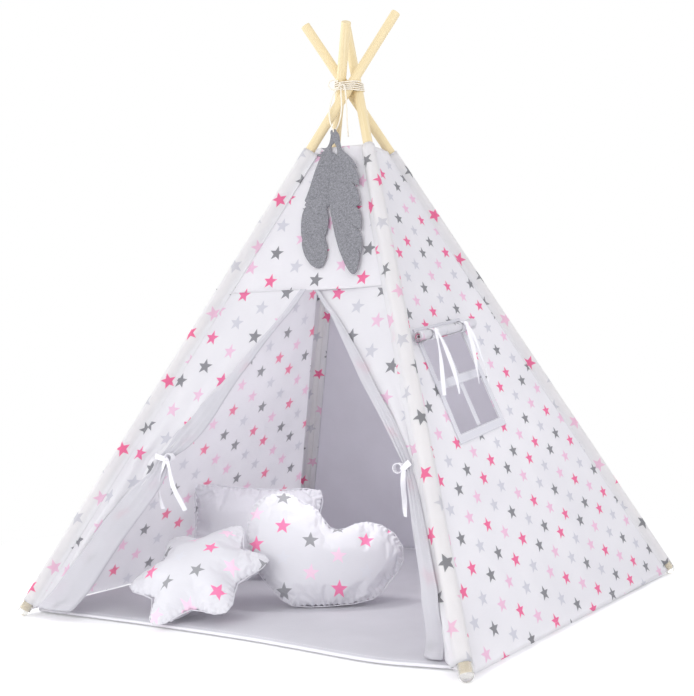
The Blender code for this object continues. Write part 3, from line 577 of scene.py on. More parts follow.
def feltMaterial():
    made, tree, shader = startMaterial("greyFelt", 0.95, 0.35, 0.1)
    place = objectPlace(tree)
    cloud = noiseNode(tree, place, 260.0, 5.0, 0.7)
    hairs = noiseNode(tree, place, 1400.0, 3.0, 0.8)
    blend = mathNode(tree, "MULTIPLY_ADD", hairs, 0.45, mathNode(tree, "MULTIPLY", cloud, 0.55))
    tree.links.new(rampNode(tree, blend, ((0.30, "#404046"), (0.72, "#b6b6bc"))),
                   shader.inputs["Base Color"])
    addBump(tree, shader, (hairs, 0.0006), (cloud, 0.0010))
    return made


def pineMaterial(corner):
    # Grain runs along the pole, with growth lines, small knots and pores
    made, tree, shader = startMaterial("pine_" + corner, 0.55, 0.0, 0.35)
    pole = poles[corner]
    axes = Matrix((pole.down.cross(pole.sideways), pole.sideways, -pole.down)).transposed()
    turn = addNode(tree, "ShaderNodeMapping", vector_type="TEXTURE")
    tree.links.new(objectPlace(tree), turn.inputs["Vector"])
    turn.inputs["Rotation"].default_value = axes.to_euler()
    turn.inputs["Location"].default_value = pole.crossing
    stretched = stretchNode(tree, turn.outputs[0], (1, 1, 0.06))
    warp = noiseNode(tree, stretched, 40.0, 3.0)
    rings = addNode(tree, "ShaderNodeTexWave", {"Vector": stretched, "Scale": 95.0,
                                                "Distortion": 6.0, "Detail": 2.0},
                    wave_type="BANDS", bands_direction="X")
    pores = noiseNode(tree, stretched, 900.0, 2.0)
    grain = mathNode(tree, "MULTIPLY_ADD", rings.outputs["Fac"], 0.45,
                     mathNode(tree, "MULTIPLY", warp, 0.55))
    tint = mixNode(tree, grain, linear("#efe0bd"), linear("#e2ce9f"))
    knotCells = addNode(tree, "ShaderNodeTexVoronoi", {"Vector": turn.outputs[0], "Scale": 7.0})
    knot = mathNode(tree, "MULTIPLY_ADD", knotCells.outputs["Distance"], -9.0, 1.0, clamp=True)
    tint = mixNode(tree, mathNode(tree, "MULTIPLY", knot, 0.5), tint, linear("#bf975e"))
    tint = mixNode(tree, mathNode(tree, "MULTIPLY_ADD", pores, 0.5, -0.2, clamp=True), tint,
                   linear("#d0b680"))
    tree.links.new(tint, shader.inputs["Base Color"])
    tree.links.new(mathNode(tree, "MULTIPLY_ADD", grain, 0.18, 0.45), shader.inputs["Roughness"])
    addBump(tree, shader, (pores, 0.00015), (grain, 0.0001))
    return made


def rubberMaterial():
    made, tree, shader = startMaterial("clearRubber", 0.35, 0.0, 0.5)
    shader.inputs["Transmission Weight"].default_value = 0.82
    shader.inputs["IOR"].default_value = 1.45
    haze, scuff = (noiseNode(tree, objectPlace(tree), scale, detail)
                   for scale, detail in ((60.0, 3.0), (700.0, 2.0)))
    tree.links.new(mixNode(tree, haze, linear("#fbfaf6"), linear("#fffefc")),
                   shader.inputs["Base Color"])
    tree.links.new(mathNode(tree, "MULTIPLY_ADD", scuff, 0.16, 0.08), shader.inputs["Roughness"])
    addBump(tree, shader, (scuff, 0.00008))
    return made


ropeCotton = ropeMaterial()
greyFelt = feltMaterial()
print("materials made")

# Cords
cordSizes = {"diameter": 0.0038, "strands": 3, "layLength": 0.0085, "groove": 0.20, "sides": 12,
             "step": 0.0011}
featherCordRoute = [
    (-0.0005, -0.0431, 1.2727), (-0.0075, -0.0530, 1.2580), (-0.0120, -0.0620, 1.2360),
    (-0.0135, -0.0695, 1.2100), (-0.0105, -0.0720, 1.1860), (-0.0060, -0.0712, 1.1710),
    (-0.0025, -0.0706, 1.1629), (-0.0018, -0.0707, 1.1596), (-0.0017, -0.0693, 1.1574),
    (-0.0020, -0.0662, 1.1561), (-0.0026, -0.0637, 1.1566), (-0.0035, -0.0614, 1.1590),
    (-0.0030, -0.0585, 1.1650), (0.0020, -0.0565, 1.1730), (0.0100, -0.0560, 1.1930),
    (0.0145, -0.0560, 1.2190), (0.0120, -0.0530, 1.2440), (0.0039, -0.0420, 1.2719),
]
tailRoute = [
    (0.0087, -0.0407, 1.2778), (0.0145, -0.0440, 1.2750), (0.0185, -0.0455, 1.2680),
    (0.0205, -0.0455, 1.2540), (0.0215, -0.0450, 1.2340), (0.0225, -0.0455, 1.2040),
    (0.0240, -0.0465, 1.1740), (0.0270, -0.0480, 1.1450),
]


def ropeRadius(run, angle):
    # Three laid strands: the section has three lobes that turn along the cord
    sizes = cordSizes
    phase = angle - math.tau * run / sizes["layLength"]
    lobe = abs(math.cos(phase * sizes["strands"] / 2))
    return sizes["diameter"] / 2 * (1 - sizes["groove"] + sizes["groove"] * lobe)


def makeCord(name, points):
    shape = bmesh.new()
    addTube(shape, points, ropeRadius, cordSizes["sides"])
    return pieceFrom(name, shape, ropeCotton)


def makeFreeCords():
    for name, node, route, farEnd, body in (
            ("lashingTail", "lashing_tail", tailRoute, "bare", "canopy_head"),
            ("featherCord", "feather_cord", featherCordRoute, "object", "feathers")):
        points = smoothRoute(route, cordSizes["step"])
        piece = makeCord(name, points)
        dress(piece, node, "rope_cotton", body)


makeFreeCords()
print("free cords laid")

# Stitches: a Geometry Nodes tree that sets small thread capsules along a path
stitchSizes = {"spacing": 0.0042, "length": 0.0030, "thickness": 0.0006, "lift": 0.0004}


def makeStitchTree():
    inputs = {"Geometry": ("Geometry", None), "Spacing": ("Float", stitchSizes["spacing"]),
              "Length": ("Float", stitchSizes["length"]),
              "Thickness": ("Float", stitchSizes["thickness"]), "Thread": ("Material", None)}
    group, start, end = newGroup("stitchesAlongPath", "GeometryNodeTree", inputs,
                                 {"Geometry": "Geometry"})
    given = start.outputs
    curve = addNode(group, "GeometryNodeMeshToCurve", {"Mesh": given["Geometry"]})
    spaced = addNode(group, "GeometryNodeResampleCurve",
                     {"Curve": curve.outputs[0], "Length": given["Spacing"]}, mode="LENGTH")
    tangent = group.nodes.new("GeometryNodeInputTangent")
    turn = addNode(group, "FunctionNodeAlignRotationToVector", {"Vector": tangent.outputs[0]},
                   axis="X")
    ball = addNode(group, "GeometryNodeMeshIcoSphere", {"Radius": 0.5, "Subdivisions": 1})
    scale = addNode(group, "ShaderNodeCombineXYZ",
                    {0: given["Length"], 1: given["Thickness"], 2: given["Thickness"]})
    shaped = addNode(group, "GeometryNodeTransform",
                     {"Geometry": ball.outputs[0], "Scale": scale.outputs[0]})
    placed = addNode(group, "GeometryNodeInstanceOnPoints",
                     {"Points": spaced.outputs[0], "Instance": shaped.outputs[0],
                      "Rotation": turn.outputs[0]})
    real = addNode(group, "GeometryNodeRealizeInstances", {0: placed.outputs[0]})
    dressed = addNode(group, "GeometryNodeSetMaterial",
                      {"Geometry": real.outputs[0], "Material": given["Thread"]})
    group.links.new(dressed.outputs[0], end.inputs[0])
    return group, {item.name: item.identifier for item in group.interface.items_tree
                   if item.in_out == "INPUT"}


stitchTree, stitchInputs = makeStitchTree()


def sewStitches(name, runs):
    # One piece of stitches along every run of points
    shape = bmesh.new()
    for run in runs:
        row = [shape.verts.new(point) for point in run]
        for first, second in zip(row, row[1:]):
            shape.edges.new((first, second))
    data = meshFrom(name + "Path", shape)
    guide = addPiece(name + "Path", data)
    sewing = guide.modifiers.new("stitches", "NODES")
    sewing.node_group = stitchTree
    for label, value in (("Spacing", stitchSizes["spacing"]), ("Length", stitchSizes["length"]),
                         ("Thickness", stitchSizes["thickness"]), ("Thread", threadCloth)):
        sewing[stitchInputs[label]] = value
    baked = bakedMesh(guide)
    bpy.data.objects.remove(guide)
    bpy.data.meshes.remove(data)
    baked.name = name
    return addPiece(name, baked)


def foldTowards(piece, side, corner):
    # A cloth piece rides the leg of the pole that it is sewn to and gets a mesh of its own
    pole = poles[corner]
    axis = sideAxes(side)[2].cross(pole.down).normalized()
    anchor = pole.atHeight(canopySizes["seam"])
    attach(piece, "leg_" + corner)
    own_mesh(piece)


# Canopy panels
panelDetail = {"columns": 64, "rows": 84, "stitchInset": 0.004}


def panelRows(side, low, high, columns, rows, marks=()):
    heights = sorted(set(stepsBetween(low, high, rows)) | set(marks), reverse=True)
    sheetRows = []
    for height in heights:
        hemmed = side != "front" and height < low + canopySizes["hemWidth"]
        lift = canopySizes["hemLift"] if hemmed else 0
        sheetRows.append([panelPoint(side, share, height, lift)
                          for share in stepsBetween(0, 1, columns)])
    return sheetRows, [[panelUv(side, point) for point in line] for line in sheetRows]


def levelRun(side, height, lift, count=60, low=0.0, high=1.0):
    return [panelPoint(side, share, height, lift) for share in stepsBetween(low, high, count)]


def hemStitches(side, low):
    inset, lift = panelDetail["stitchInset"], stitchSizes["lift"]
    runs = [levelRun(side, canopySizes["top"] - inset, lift)]
    if side == "front":
        runs.append(levelRun(side, low + inset, lift))
    else:
        runs.append(levelRun(side, low + canopySizes["hemWidth"] - inset,
                             lift + canopySizes["hemLift"]))
    return runs


def finishPanel(piece, side, low, slotName, corner):
    stitches = sewStitches(piece.name + "Stitches", hemStitches(side, low))
    dress(piece, "canopy_" + side, slotName, stitches=stitches, fold=(side, corner))
    bottom, crown = sideEnds(side, low), sideEnds(side, canopySizes["top"])


def makePanel(side, low, surfaces, corner, slotName):
    lines = panelRows(side, low, canopySizes["top"], panelDetail["columns"], panelDetail["rows"],
                      marks=(low + canopySizes["hemWidth"],))
    piece = gridSheet("canopy" + side.title(), *lines, surfaces, canopySizes["cloth"])
    finishPanel(piece, side, low, slotName, corner)


for sideName, lowEdge, cloths, cornerName, slotLabel in (
        ("left", canopySizes["lowHem"], (starCloth, starInside), "front_left", "star_cotton"),
        ("back", canopySizes["lowHem"], (backCloth, backCloth), "back_right", "grey_cotton"),
        ("front", canopySizes["seam"] - canopySizes["seamLap"], (starCloth, starInside),
         "front_left", "star_cotton")):
    makePanel(sideName, lowEdge, cloths, cornerName, slotLabel)

# Window
windowSizes = {
    "poleClearance": 0.0295, "backY": 0.030, "low": 0.429, "high": 0.644, "climb": 0.105,
    "slope": 1.11, "border": 0.020, "borderCloth": 0.0012, "borderLift": 0.0008,
    "stitchInset": 0.0035, "tape": 0.020, "tapeCloth": 0.0010,
    "rollDiameter": 0.028, "rollDrop": 0.002, "rollFrontReach": 0.041, "rollBackReach": 0.048,
    "tailLength": 0.150, "nearInset": 0.023, "farInset": 0.030, "tailLift": 0.004,
    "columns": (14, 20, 34), "rows": (34, 20, 34), "borderSteps": (5, 24),
}
# The side and the corner whose pole the window's pieces ride
windowFold = ("right", "front_right")
windowSizes["frontY"] = (sideEnds("right", windowSizes["high"] + windowSizes["border"])[0].y
                         + windowSizes["poleClearance"] + windowSizes["border"])


def windowPoint(y, height, outward=0.0, follow=1.0):
    # The window's lines climb a little from its front edge to the back
    risen = height + (y - windowSizes["frontY"]) * windowSizes["climb"] * follow
    share = min(1, max(0, shareAlong("right", risen, y)))
    return panelPoint("right", share, risen, outward)


def makeWindowPanel():
    # The right panel: the window's sides are lines of the grid, so the hole is a clean cut
    sizes = windowSizes
    top, hem = canopySizes["top"], canopySizes["lowHem"]
    before, across = sizes["columns"][:2]
    above, down, below = sizes["rows"]
    heights = stepsThrough(top, (sizes["high"], above), (sizes["low"], down),
                           (hem + canopySizes["hemWidth"], below), (hem, 2))
    rows = []
    for height in heights:
        shares = [0.0, shareAlong("right", height, sizes["frontY"]),
                  shareAlong("right", height, sizes["backY"]), 1.0]
        if height > sizes["high"] + sizes["border"]:
            blend = eased((height - sizes["high"] - sizes["border"]) / 0.2)
            shares[1] += (0.16 - shares[1]) * blend
            shares[2] += (0.52 - shares[2]) * blend
        # Rows are level at the top and the hem and climb beside the window
        follow = eased(min((top - height) / (top - sizes["high"]),
                           (height - hem) / (sizes["low"] - hem)))
        start, end = sideEnds("right", height)
        line = [start.y + (end.y - start.y) * share
                for share in stepsThrough(0.0, *zip(shares[1:], sizes["columns"]))]
        hemmed = canopySizes["hemLift"] if height < hem + canopySizes["hemWidth"] else 0
        points = [windowPoint(y, height, hemmed, follow) for y in line]
        for edge, sheetEdge in ((0, 0.0), (-1, 1.0)):
            points[edge] = panelPoint("right", sheetEdge, points[edge].z, hemmed)
        rows.append(points)
    uvRows = [[panelUv("right", point) for point in points] for points in rows]
    piece = gridSheet("canopyRight", rows, uvRows, (starCloth, starInside), canopySizes["cloth"],
                      skip=lambda row, column: (above <= row < above + down
                                                and before <= column < before + across))
    finishPanel(piece, "right", hem, "star_cotton", "front_right")


def makeWindowBorder():
    sizes = windowSizes
    border, lift = sizes["border"], sizes["borderLift"] + sizes["borderCloth"]
    low, high, front, back = sizes["low"], sizes["high"], sizes["frontY"], sizes["backY"]
    band, along = sizes["borderSteps"]
    heights = stepsThrough(high + border, (high, band), (low, along), (low - border, band))
    across = stepsThrough(front - border, (front, band), (back, along), (back + border, band))
    rows = [[windowPoint(y, height, lift + 0.0004 * noise.noise(Vector((y * 60, height * 60, 4))))
             for y in across] for height in heights]
    piece = gridSheet("windowBorder", rows, [[(y, height) for y in across] for height in heights],
                      (borderCloth,), sizes["borderCloth"],
                      skip=lambda row, column: (band <= row < band + along
                                                and band <= column < band + along))
    runs, above = [], lift + stitchSizes["lift"]
    for inset in (sizes["stitchInset"], border - sizes["stitchInset"]):
        heights = stepsBetween(low - inset, high + inset, 20)
        places = stepsBetween(front - inset, back + inset, 20)
        runs += [[windowPoint(y, height, above) for y in places]
                 for height in (high + inset, low - inset)]
        runs += [[windowPoint(y, height, above) for height in heights]
                 for y in (front - inset, back + inset)]
    stitches = sewStitches("windowBorderStitches", runs)
    dress(piece, "window_border", "pale_cotton", stitches=stitches, fold=windowFold)
    height = (windowPoint(0, high) - windowPoint(0, low)).length


def makeWindowTapes():
    sizes = windowSizes
    half = sizes["tape"] / 2
    middleY = (sizes["frontY"] + sizes["backY"]) / 2
    middle = (sizes["low"] + sizes["high"]) / 2
    across = stepsBetween(-half, half, 6)
    heights = stepsBetween(sizes["high"] - seatGap * 2, sizes["low"] + seatGap * 2, 40)
    upright = gridSheet(
        "windowTapeUpright",
        [[windowPoint(middleY + x, height, -seatGap) for x in across] for height in heights],
        [[(x, height) for x in across] for height in heights], (borderCloth,), sizes["tapeCloth"])
    places = stepsBetween(sizes["frontY"] + seatGap, sizes["backY"] - seatGap, 40)
    lift = seatGap + sizes["tapeCloth"]
    level = gridSheet(
        "windowTapeLevel",
        [[windowPoint(y, middle - x, lift) for y in places] for x in across],
        [[(y, -x) for y in places] for x in across], (borderCloth,), sizes["tapeCloth"])
    edge = half - 0.003
    uprightSewn = sewStitches("windowTapeUprightStitches", [
        [windowPoint(middleY + x, height, stitchSizes["lift"] - seatGap) for height in heights]
        for x in (-edge, edge)])
    levelSewn = sewStitches("windowTapeLevelStitches", [
        [windowPoint(y, middle + x, lift + stitchSizes["lift"]) for y in places]
        for x in (-edge, edge)])
    tall = (sizes["high"] - sizes["low"]) * sizes["slope"]
    for piece, node, sewn, length in (
            (upright, "window_tape_upright", uprightSewn, tall),
            (level, "window_tape_level", levelSewn, sizes["backY"] - sizes["frontY"])):
        dress(piece, node, "pale_cotton", stitches=sewn, stitchSlot="pale_cotton", fold=windowFold)


def rollAxisPoint(y):
    sizes = windowSizes
    return windowPoint(y, sizes["high"] - sizes["rollDrop"], sizes["rollDiameter"] / 2
                       + seatGap * 2 + sizes["borderLift"] + sizes["borderCloth"])


rollShape = {"turns": 3.6, "inner": 0.0035, "cloth": 0.0011, "aroundSteps": 96, "alongSteps": 70,
             "pinch": 0.0022}


def makeWindowRoll():
    # A flap wound up on itself: a spiral section, pinched under each tie
    sizes, shape = windowSizes, rollShape
    _, rise, outward = sideAxes("right")
    front, back = sizes["frontY"] - sizes["rollFrontReach"], sizes["backY"] + sizes["rollBackReach"]
    ties = (sizes["frontY"] + sizes["nearInset"], sizes["backY"] - sizes["farInset"])
    rows, uvRows = [], []
    for y in stepsBetween(front, back, shape["alongSteps"]):
        centre = rollAxisPoint(y)
        pinch = sum(math.exp(-((y - tie) / 0.009) ** 2) for tie in ties) * shape["pinch"]
        line = []
        for step in range(shape["aroundSteps"] + 1):
            share = step / shape["aroundSteps"]
            angle = math.tau * shape["turns"] * share + 1.1 + 0.25 * math.sin(y * 21)
            outer = sizes["rollDiameter"] / 2 - shape["cloth"] / 2 - pinch * share
            radius = shape["inner"] + (outer - shape["inner"]) * share
            slack = noise.noise(Vector((y * 26, math.cos(angle) * 1.6, math.sin(angle) * 1.6)))
            radius -= 0.0011 * abs(slack) * share
            line.append(centre + outward * (radius * math.cos(angle))
                        + rise * (radius * math.sin(angle)))
        rows.append(line)
        uvRows.append([(y, run) for run in runsAlong(line)])
    piece = gridSheet("windowFlapRoll", rows, uvRows, (starInside, starCloth), shape["cloth"],
                      offset=0)
    dress(piece, "window_flap_roll", "star_cotton", fold=windowFold)


makeWindowPanel()
makeWindowBorder()
makeWindowTapes()
makeWindowRoll()
print("canopy panels and window made")

# Ribbon ties
ribbonSizes = {
    "width": 0.013, "cloth": 0.0012, "knotLength": 0.018, "knotHeight": 0.014, "knotDepth": 0.010,
    "tailWidth": 0.0105, "loopDiameter": 0.022, "nearSwings": (-0.045, 0.022),
    "farSwings": (-0.024, 0.024),
}


def addRibbon(shape, line, across, width=None):
    # A closed flat strip; across is the direction of its width at each point of the line
    uvLayer = shape.loops.layers.uv.verify()
    half, wall = (width or ribbonSizes["width"]) / 2, ribbonSizes["cloth"] / 2
    section = ((-1, 1), (-0.33, 1.25), (0.33, 1.25), (1, 1),
               (1, -1), (0.33, -0.9), (-0.33, -0.9), (-1, -1))
    rings = []
    for index, point in enumerate(line):
        before, after = line[max(0, index - 1)], line[min(len(line) - 1, index + 1)]
        tangent = (after - before).normalized()
        wide = (across[index] - tangent * across[index].dot(tangent)).normalized()
        normal = tangent.cross(wide)
        rings.append([shape.verts.new(point + wide * (half * sideways) + normal * (wall * lifted))
                      for sideways, lifted in section])
    stations = list(zip(rings, runsAlong(line)))
    for (ring, first), (following, second) in zip(stations, stations[1:]):
        for corner in range(8):
            after = (corner + 1) % 8
            face = shape.faces.new((ring[corner], ring[after], following[after], following[corner]))
            flat, flatAfter = section[corner][0] * half, section[after][0] * half
            for loop, place in zip(face.loops, ((first, flat), (first, flatAfter),
                                                (second, flatAfter), (second, flat))):
                loop[uvLayer].uv = place
    shape.faces.new(list(reversed(rings[0])))
    shape.faces.new(rings[-1])


def addKnot(shape, centre, sideways, forward, rise, seed=0.0):
    # A pulled knot: a crowned form with the folds of the ribbon across it
    rings, sectors = 14, 22
    length, depth, height = (ribbonSizes["knot" + way] for way in ("Length", "Depth", "Height"))
    uvLayer = shape.loops.layers.uv.verify()
    grid = []
    for ring in range(1, rings):
        polar = math.pi * ring / rings
        row = []
        for sector in range(sectors):
            turn = math.tau * sector / sectors
            x = math.cos(polar)
            y, z = math.sin(polar) * math.cos(turn), math.sin(polar) * math.sin(turn)
            fold = 1 - 0.13 * abs(math.sin(2.4 * z + 1.7 * x + seed)) ** 0.6
            fold *= 1 + 0.10 * noise.noise(Vector((x * 2 + seed, y * 2, z * 2)))
            row.append(shape.verts.new(
                centre + (sideways * (x * length / 2) + forward * (y * depth / 2)
                          + rise * (z * height / 2)) * fold))
        grid.append(row)
    ends = [shape.verts.new(centre + sideways * (length / 2 * 0.94 * sign)) for sign in (1, -1)]
    faces = []
    for upper, lower in zip(grid, grid[1:]):
        for sector in range(sectors):
            after = (sector + 1) % sectors
            corners = (upper[sector], lower[sector], lower[after], upper[after])
            faces.append(shape.faces.new(corners))
    for sector in range(sectors):
        after = (sector + 1) % sectors
        faces.append(shape.faces.new((grid[0][after], ends[0], grid[0][sector])))
        faces.append(shape.faces.new((grid[-1][sector], ends[1], grid[-1][after])))
    for face in faces:
        for loop in face.loops:
            away = loop.vert.co - centre
            loop[uvLayer].uv = (away.dot(sideways), away.dot(rise))
    bmesh.ops.recalc_face_normals(shape, faces=faces)


def finishTie(piece, node, fold):
    dress(piece, node, "white_cotton", fold=fold)


def makeWindowTie(name, node, y, swings):
    # Two ribbons round the roll, tied in front of it; the tails lie down the panel
    sizes, ribbon = windowSizes, ribbonSizes
    _, rise, outward = sideAxes("right")
    level = Vector((0, 1, 0))
    axis = rollAxisPoint(y)
    radius = sizes["rollDiameter"] / 2 - rollShape["pinch"] + ribbon["cloth"]
    knot = axis + outward * (sizes["rollDiameter"] / 2 + ribbon["knotDepth"] / 2 + seatGap)
    shape = bmesh.new()
    ring = [axis + outward * (radius * math.cos(angle)) + rise * (radius * math.sin(angle))
            for angle in stepsBetween(0.25, math.tau - 0.25, 40)]
    addRibbon(shape, ring, [level] * len(ring))
    addKnot(shape, knot - outward * 0.001, level, outward, rise, y * 9)
    end = windowPoint(y, sizes["high"] - sizes["rollDrop"] - sizes["tailLength"],
                      sizes["tailLift"] + ribbon["width"] / 2 + sizes["borderLift"]
                      + sizes["borderCloth"])
    fall = (end - knot).normalized()
    total = routeLength(ring)
    for index, swing in enumerate(swings):
        line, across = [], []
        for share in stepsBetween(0, 1, 44):
            bulge = math.sin(math.pi * share) * ribbon["width"] / 2
            wave = 0.0025 * math.sin(share * 7 + index * 2) * share
            line.append(knot + fall * (sizes["tailLength"] * share)
                        + level * (swing * share ** 0.7 + wave) + outward * bulge)
            twist = 0.5 * math.sin(share * 4.4 + 1.3 * index + y * 11) * eased(share * 3)
            across.append(level * math.cos(twist) + outward * math.sin(twist))
        addRibbon(shape, line, across, ribbon["tailWidth"])
        total += routeLength(line)
    finishTie(pieceFrom(name, shape, ribbonCloth), node, windowFold)


makeWindowTie("windowTieNear", "window_tie_near", windowSizes["frontY"] + windowSizes["nearInset"],
              ribbonSizes["nearSwings"])
makeWindowTie("windowTieFar", "window_tie_far", windowSizes["backY"] - windowSizes["farInset"],
              ribbonSizes["farSwings"])

# Door flaps
flapSizes = {
    "foldRadius": 0.0035, "footFoldRadius": 0.008, "footPleatLoss": 0.3, "rows": 150,
    "backColumns": 60, "foldColumns": 8, "turnColumns": 24,
    # Heights with the place of the fold along X, and with the width that is turned back
    "left": {"tieHeight": 0.369, "tieTurnBack": 0.034, "tieBulge": 0.45, "bandRise": 0.5,
             "tail": 0.118, "tailLift": 0.008, "tailSwings": (-0.016, 0.056), "loopAngle": 17.0,
             "pleatDepth": 0.011, "pleats": 2.5, "hem": 0.026, "tuck": 0.0,
             "fold": ((0.766, 0.032), (0.717, 0.004), (0.658, -0.041), (0.585, -0.089),
                      (0.545, -0.114), (0.508, -0.134), (0.464, -0.157), (0.430, -0.180),
                      (0.398, -0.212), (0.369, -0.256), (0.340, -0.257), (0.310, -0.263),
                      (0.267, -0.284), (0.226, -0.309), (0.185, -0.333), (0.136, -0.358),
                      (0.073, -0.389), (0.020, -0.430)),
             "turnBack": ((0.766, 0.010), (0.660, 0.016), (0.600, 0.027), (0.540, 0.038),
                          (0.500, 0.056), (0.438, 0.074), (0.402, 0.062), (0.369, 0.034),
                          (0.342, 0.044), (0.320, 0.064), (0.290, 0.083), (0.232, 0.091),
                          (0.166, 0.088), (0.105, 0.096), (0.020, 0.102))},
    "right": {"tieHeight": 0.370, "tieTurnBack": 0.016, "tieBulge": 1.0, "bandRise": 1.0,
              "tail": 0.100, "tailLift": 0.0, "tailSwings": (-0.004,), "loopAngle": 0.0,
              "pleatDepth": 0.005, "pleats": 1.5, "hem": 0.018, "tuck": 0.070,
              "fold": ((0.766, 0.032), (0.724, 0.074), (0.700, 0.101), (0.643, 0.150),
                       (0.587, 0.197), (0.549, 0.229), (0.494, 0.281), (0.450, 0.321),
                       (0.405, 0.360), (0.370, 0.388), (0.310, 0.415), (0.257, 0.437),
                       (0.182, 0.472), (0.139, 0.488), (0.080, 0.494), (0.010, 0.484)),
              "turnBack": ((0.766, 0.010), (0.700, 0.014), (0.650, 0.022), (0.600, 0.029),
                           (0.500, 0.031), (0.420, 0.028), (0.370, 0.018), (0.330, 0.023),
                           (0.260, 0.029), (0.140, 0.034), (0.010, 0.038))},
}


def tableRoute(pairs):
    # A smooth line through pairs of a height and a value, from the top down
    return smoothRoute([(value, 0, height) for height, value in pairs], 0.004)


flapRoutes = {(which, label): tableRoute(flapSizes[which][label])
              for which in ("left", "right") for label in ("fold", "turnBack")}


def routeAt(route, height):
    for above, below in zip(route, route[1:]):
        if below.z <= height:
            share = (above.z - height) / max(above.z - below.z, 1e-9)
            return above.x + (below.x - above.x) * min(1, max(0, share))
    return route[-1].x


def flapRow(which, height):
    # Cross-section of a flap: pleats from the pole to the fold, then the turn-back
    sizes = flapSizes[which]
    side = 1 if which == "left" else -1
    tie, hem = sizes["tieHeight"], canopySizes["hem"]
    turnBack = routeAt(flapRoutes[which, "turnBack"], height)
    radius, flush = flapSizes["foldRadius"], 0.0
    if height > tie:
        above = (canopySizes["seam"] - height) / (canopySizes["seam"] - tie)
        wave = sizes["pleatDepth"] * above ** 2
        flush = 1 - eased(above / 0.12)
    else:
        below = (tie - height) / (tie - hem)
        radius += (flapSizes["footFoldRadius"] - radius) * below
        wave = sizes["pleatDepth"] * (1 - below * flapSizes["footPleatLoss"])
    start, end = sideEnds("front", height)
    outer = start if which == "left" else end
    outward, inward = Vector((0, -1, 0)), Vector((side, 0, 0))
    reach = (routeAt(flapRoutes[which, "fold"], height) - outer.x) * side - radius
    near, spread = (math.exp(-((height - tie) / width) ** 2) for width in (0.06, 0.11))
    tuck = sizes["tuck"] * eased((0.15 - height) / 0.15)
    row = []
    for share in stepsBetween(0, 1, flapSizes["backColumns"]):
        # The cloth lies flat where the sleeve's seam allowance covers it
        free = eased((share - 0.10) / 0.22)
        quiet = math.sin(math.pi * share) ** 0.5
        swell = wave * math.sin(math.tau * sizes["pleats"] * share) * quiet
        # Finer gathers draw together at the tie and open out above and below it
        gather = 0.0022 * near * math.sin(math.tau * sizes["pleats"] * 3 * share + 0.7)
        drape = 0.0016 * noise.noise(Vector((share * 5, height * 5, 3.0 + side))) * (1 - flush)
        hang = panelHang(reach * share / (end - start).length, height)
        place = outer + inward * (reach * share)
        wrinkle = panelWrinkle("front", shareAlong("front", height, place.x), height)
        hang += (canopySizes["hemLift"] - wrinkle) * flush
        back = wave * share + swell * free + hang + (gather * free + drape) * quiet
        row.append(place - outward * (back + tuck * eased(share * 1.25)))
    last = row[-1]
    for index in range(1, flapSizes["foldColumns"]):
        angle = math.pi * index / flapSizes["foldColumns"]
        row.append(last + inward * (radius * math.sin(angle))
                   + outward * (radius * (1 - math.cos(angle))))
    front = last + outward * (radius * 2)
    for share in stepsBetween(0, 1, flapSizes["turnColumns"]):
        flare = 0.0012 * math.sin(height * 60 + share * 2) * share * (1 - near)
        # Soft folds run out of the tie over the turned back cloth
        folds = 1 - math.cos(math.tau * 3 * share + 0.4 * math.sin(height * 30))
        crease = 0.0046 * spread * folds / 2
        crease += 0.0016 * (1 - spread) * noise.noise(Vector((share * 2.4, height * 6, 7.0 + side)))
        lift = radius * math.sin(math.pi * share) + flare + crease * min(1, share * 5)
        row.append(front - inward * (turnBack * share) + outward * lift)
    return row


def makeDoorFlap(which):
    hem = flapSizes[which]["hem"]
    heights = stepsBetween(canopySizes["seam"] - canopySizes["cloth"] * 2, hem, flapSizes["rows"])
    rows = [flapRow(which, height) for height in heights]
    side = 1 if which == "left" else -1
    uvRows = []
    for row in rows:
        acrossStart, climb = panelUv("front", row[0])
        uvRows.append([(acrossStart + side * run, climb) for run in runsAlong(row)])
    lift = Vector((0, stitchSizes["lift"] + canopySizes["cloth"] / 2, 0))
    turnFirst = flapSizes["backColumns"] + flapSizes["foldColumns"]
    hemRow = [point - lift for point in
              flapRow(which, hem + canopySizes["hemWidth"] - panelDetail["stitchInset"])]
    name = "doorFlap" + which.title()
    edge = [row[-3] - lift for row in rows]
    stitches = sewStitches(name + "Stitches",
                           [hemRow[:flapSizes["backColumns"]], hemRow[turnFirst:], edge])
    if which == "right":
        rows = [list(reversed(row)) for row in rows]
        uvRows = [list(reversed(line)) for line in uvRows]
    piece = gridSheet(name, rows, uvRows, (starCloth, shadedLiningCloth), canopySizes["cloth"], offset=0)
    dress(piece, "door_flap_" + which, "star_cotton", stitches=stitches,
          fold=("front", "front_" + which))


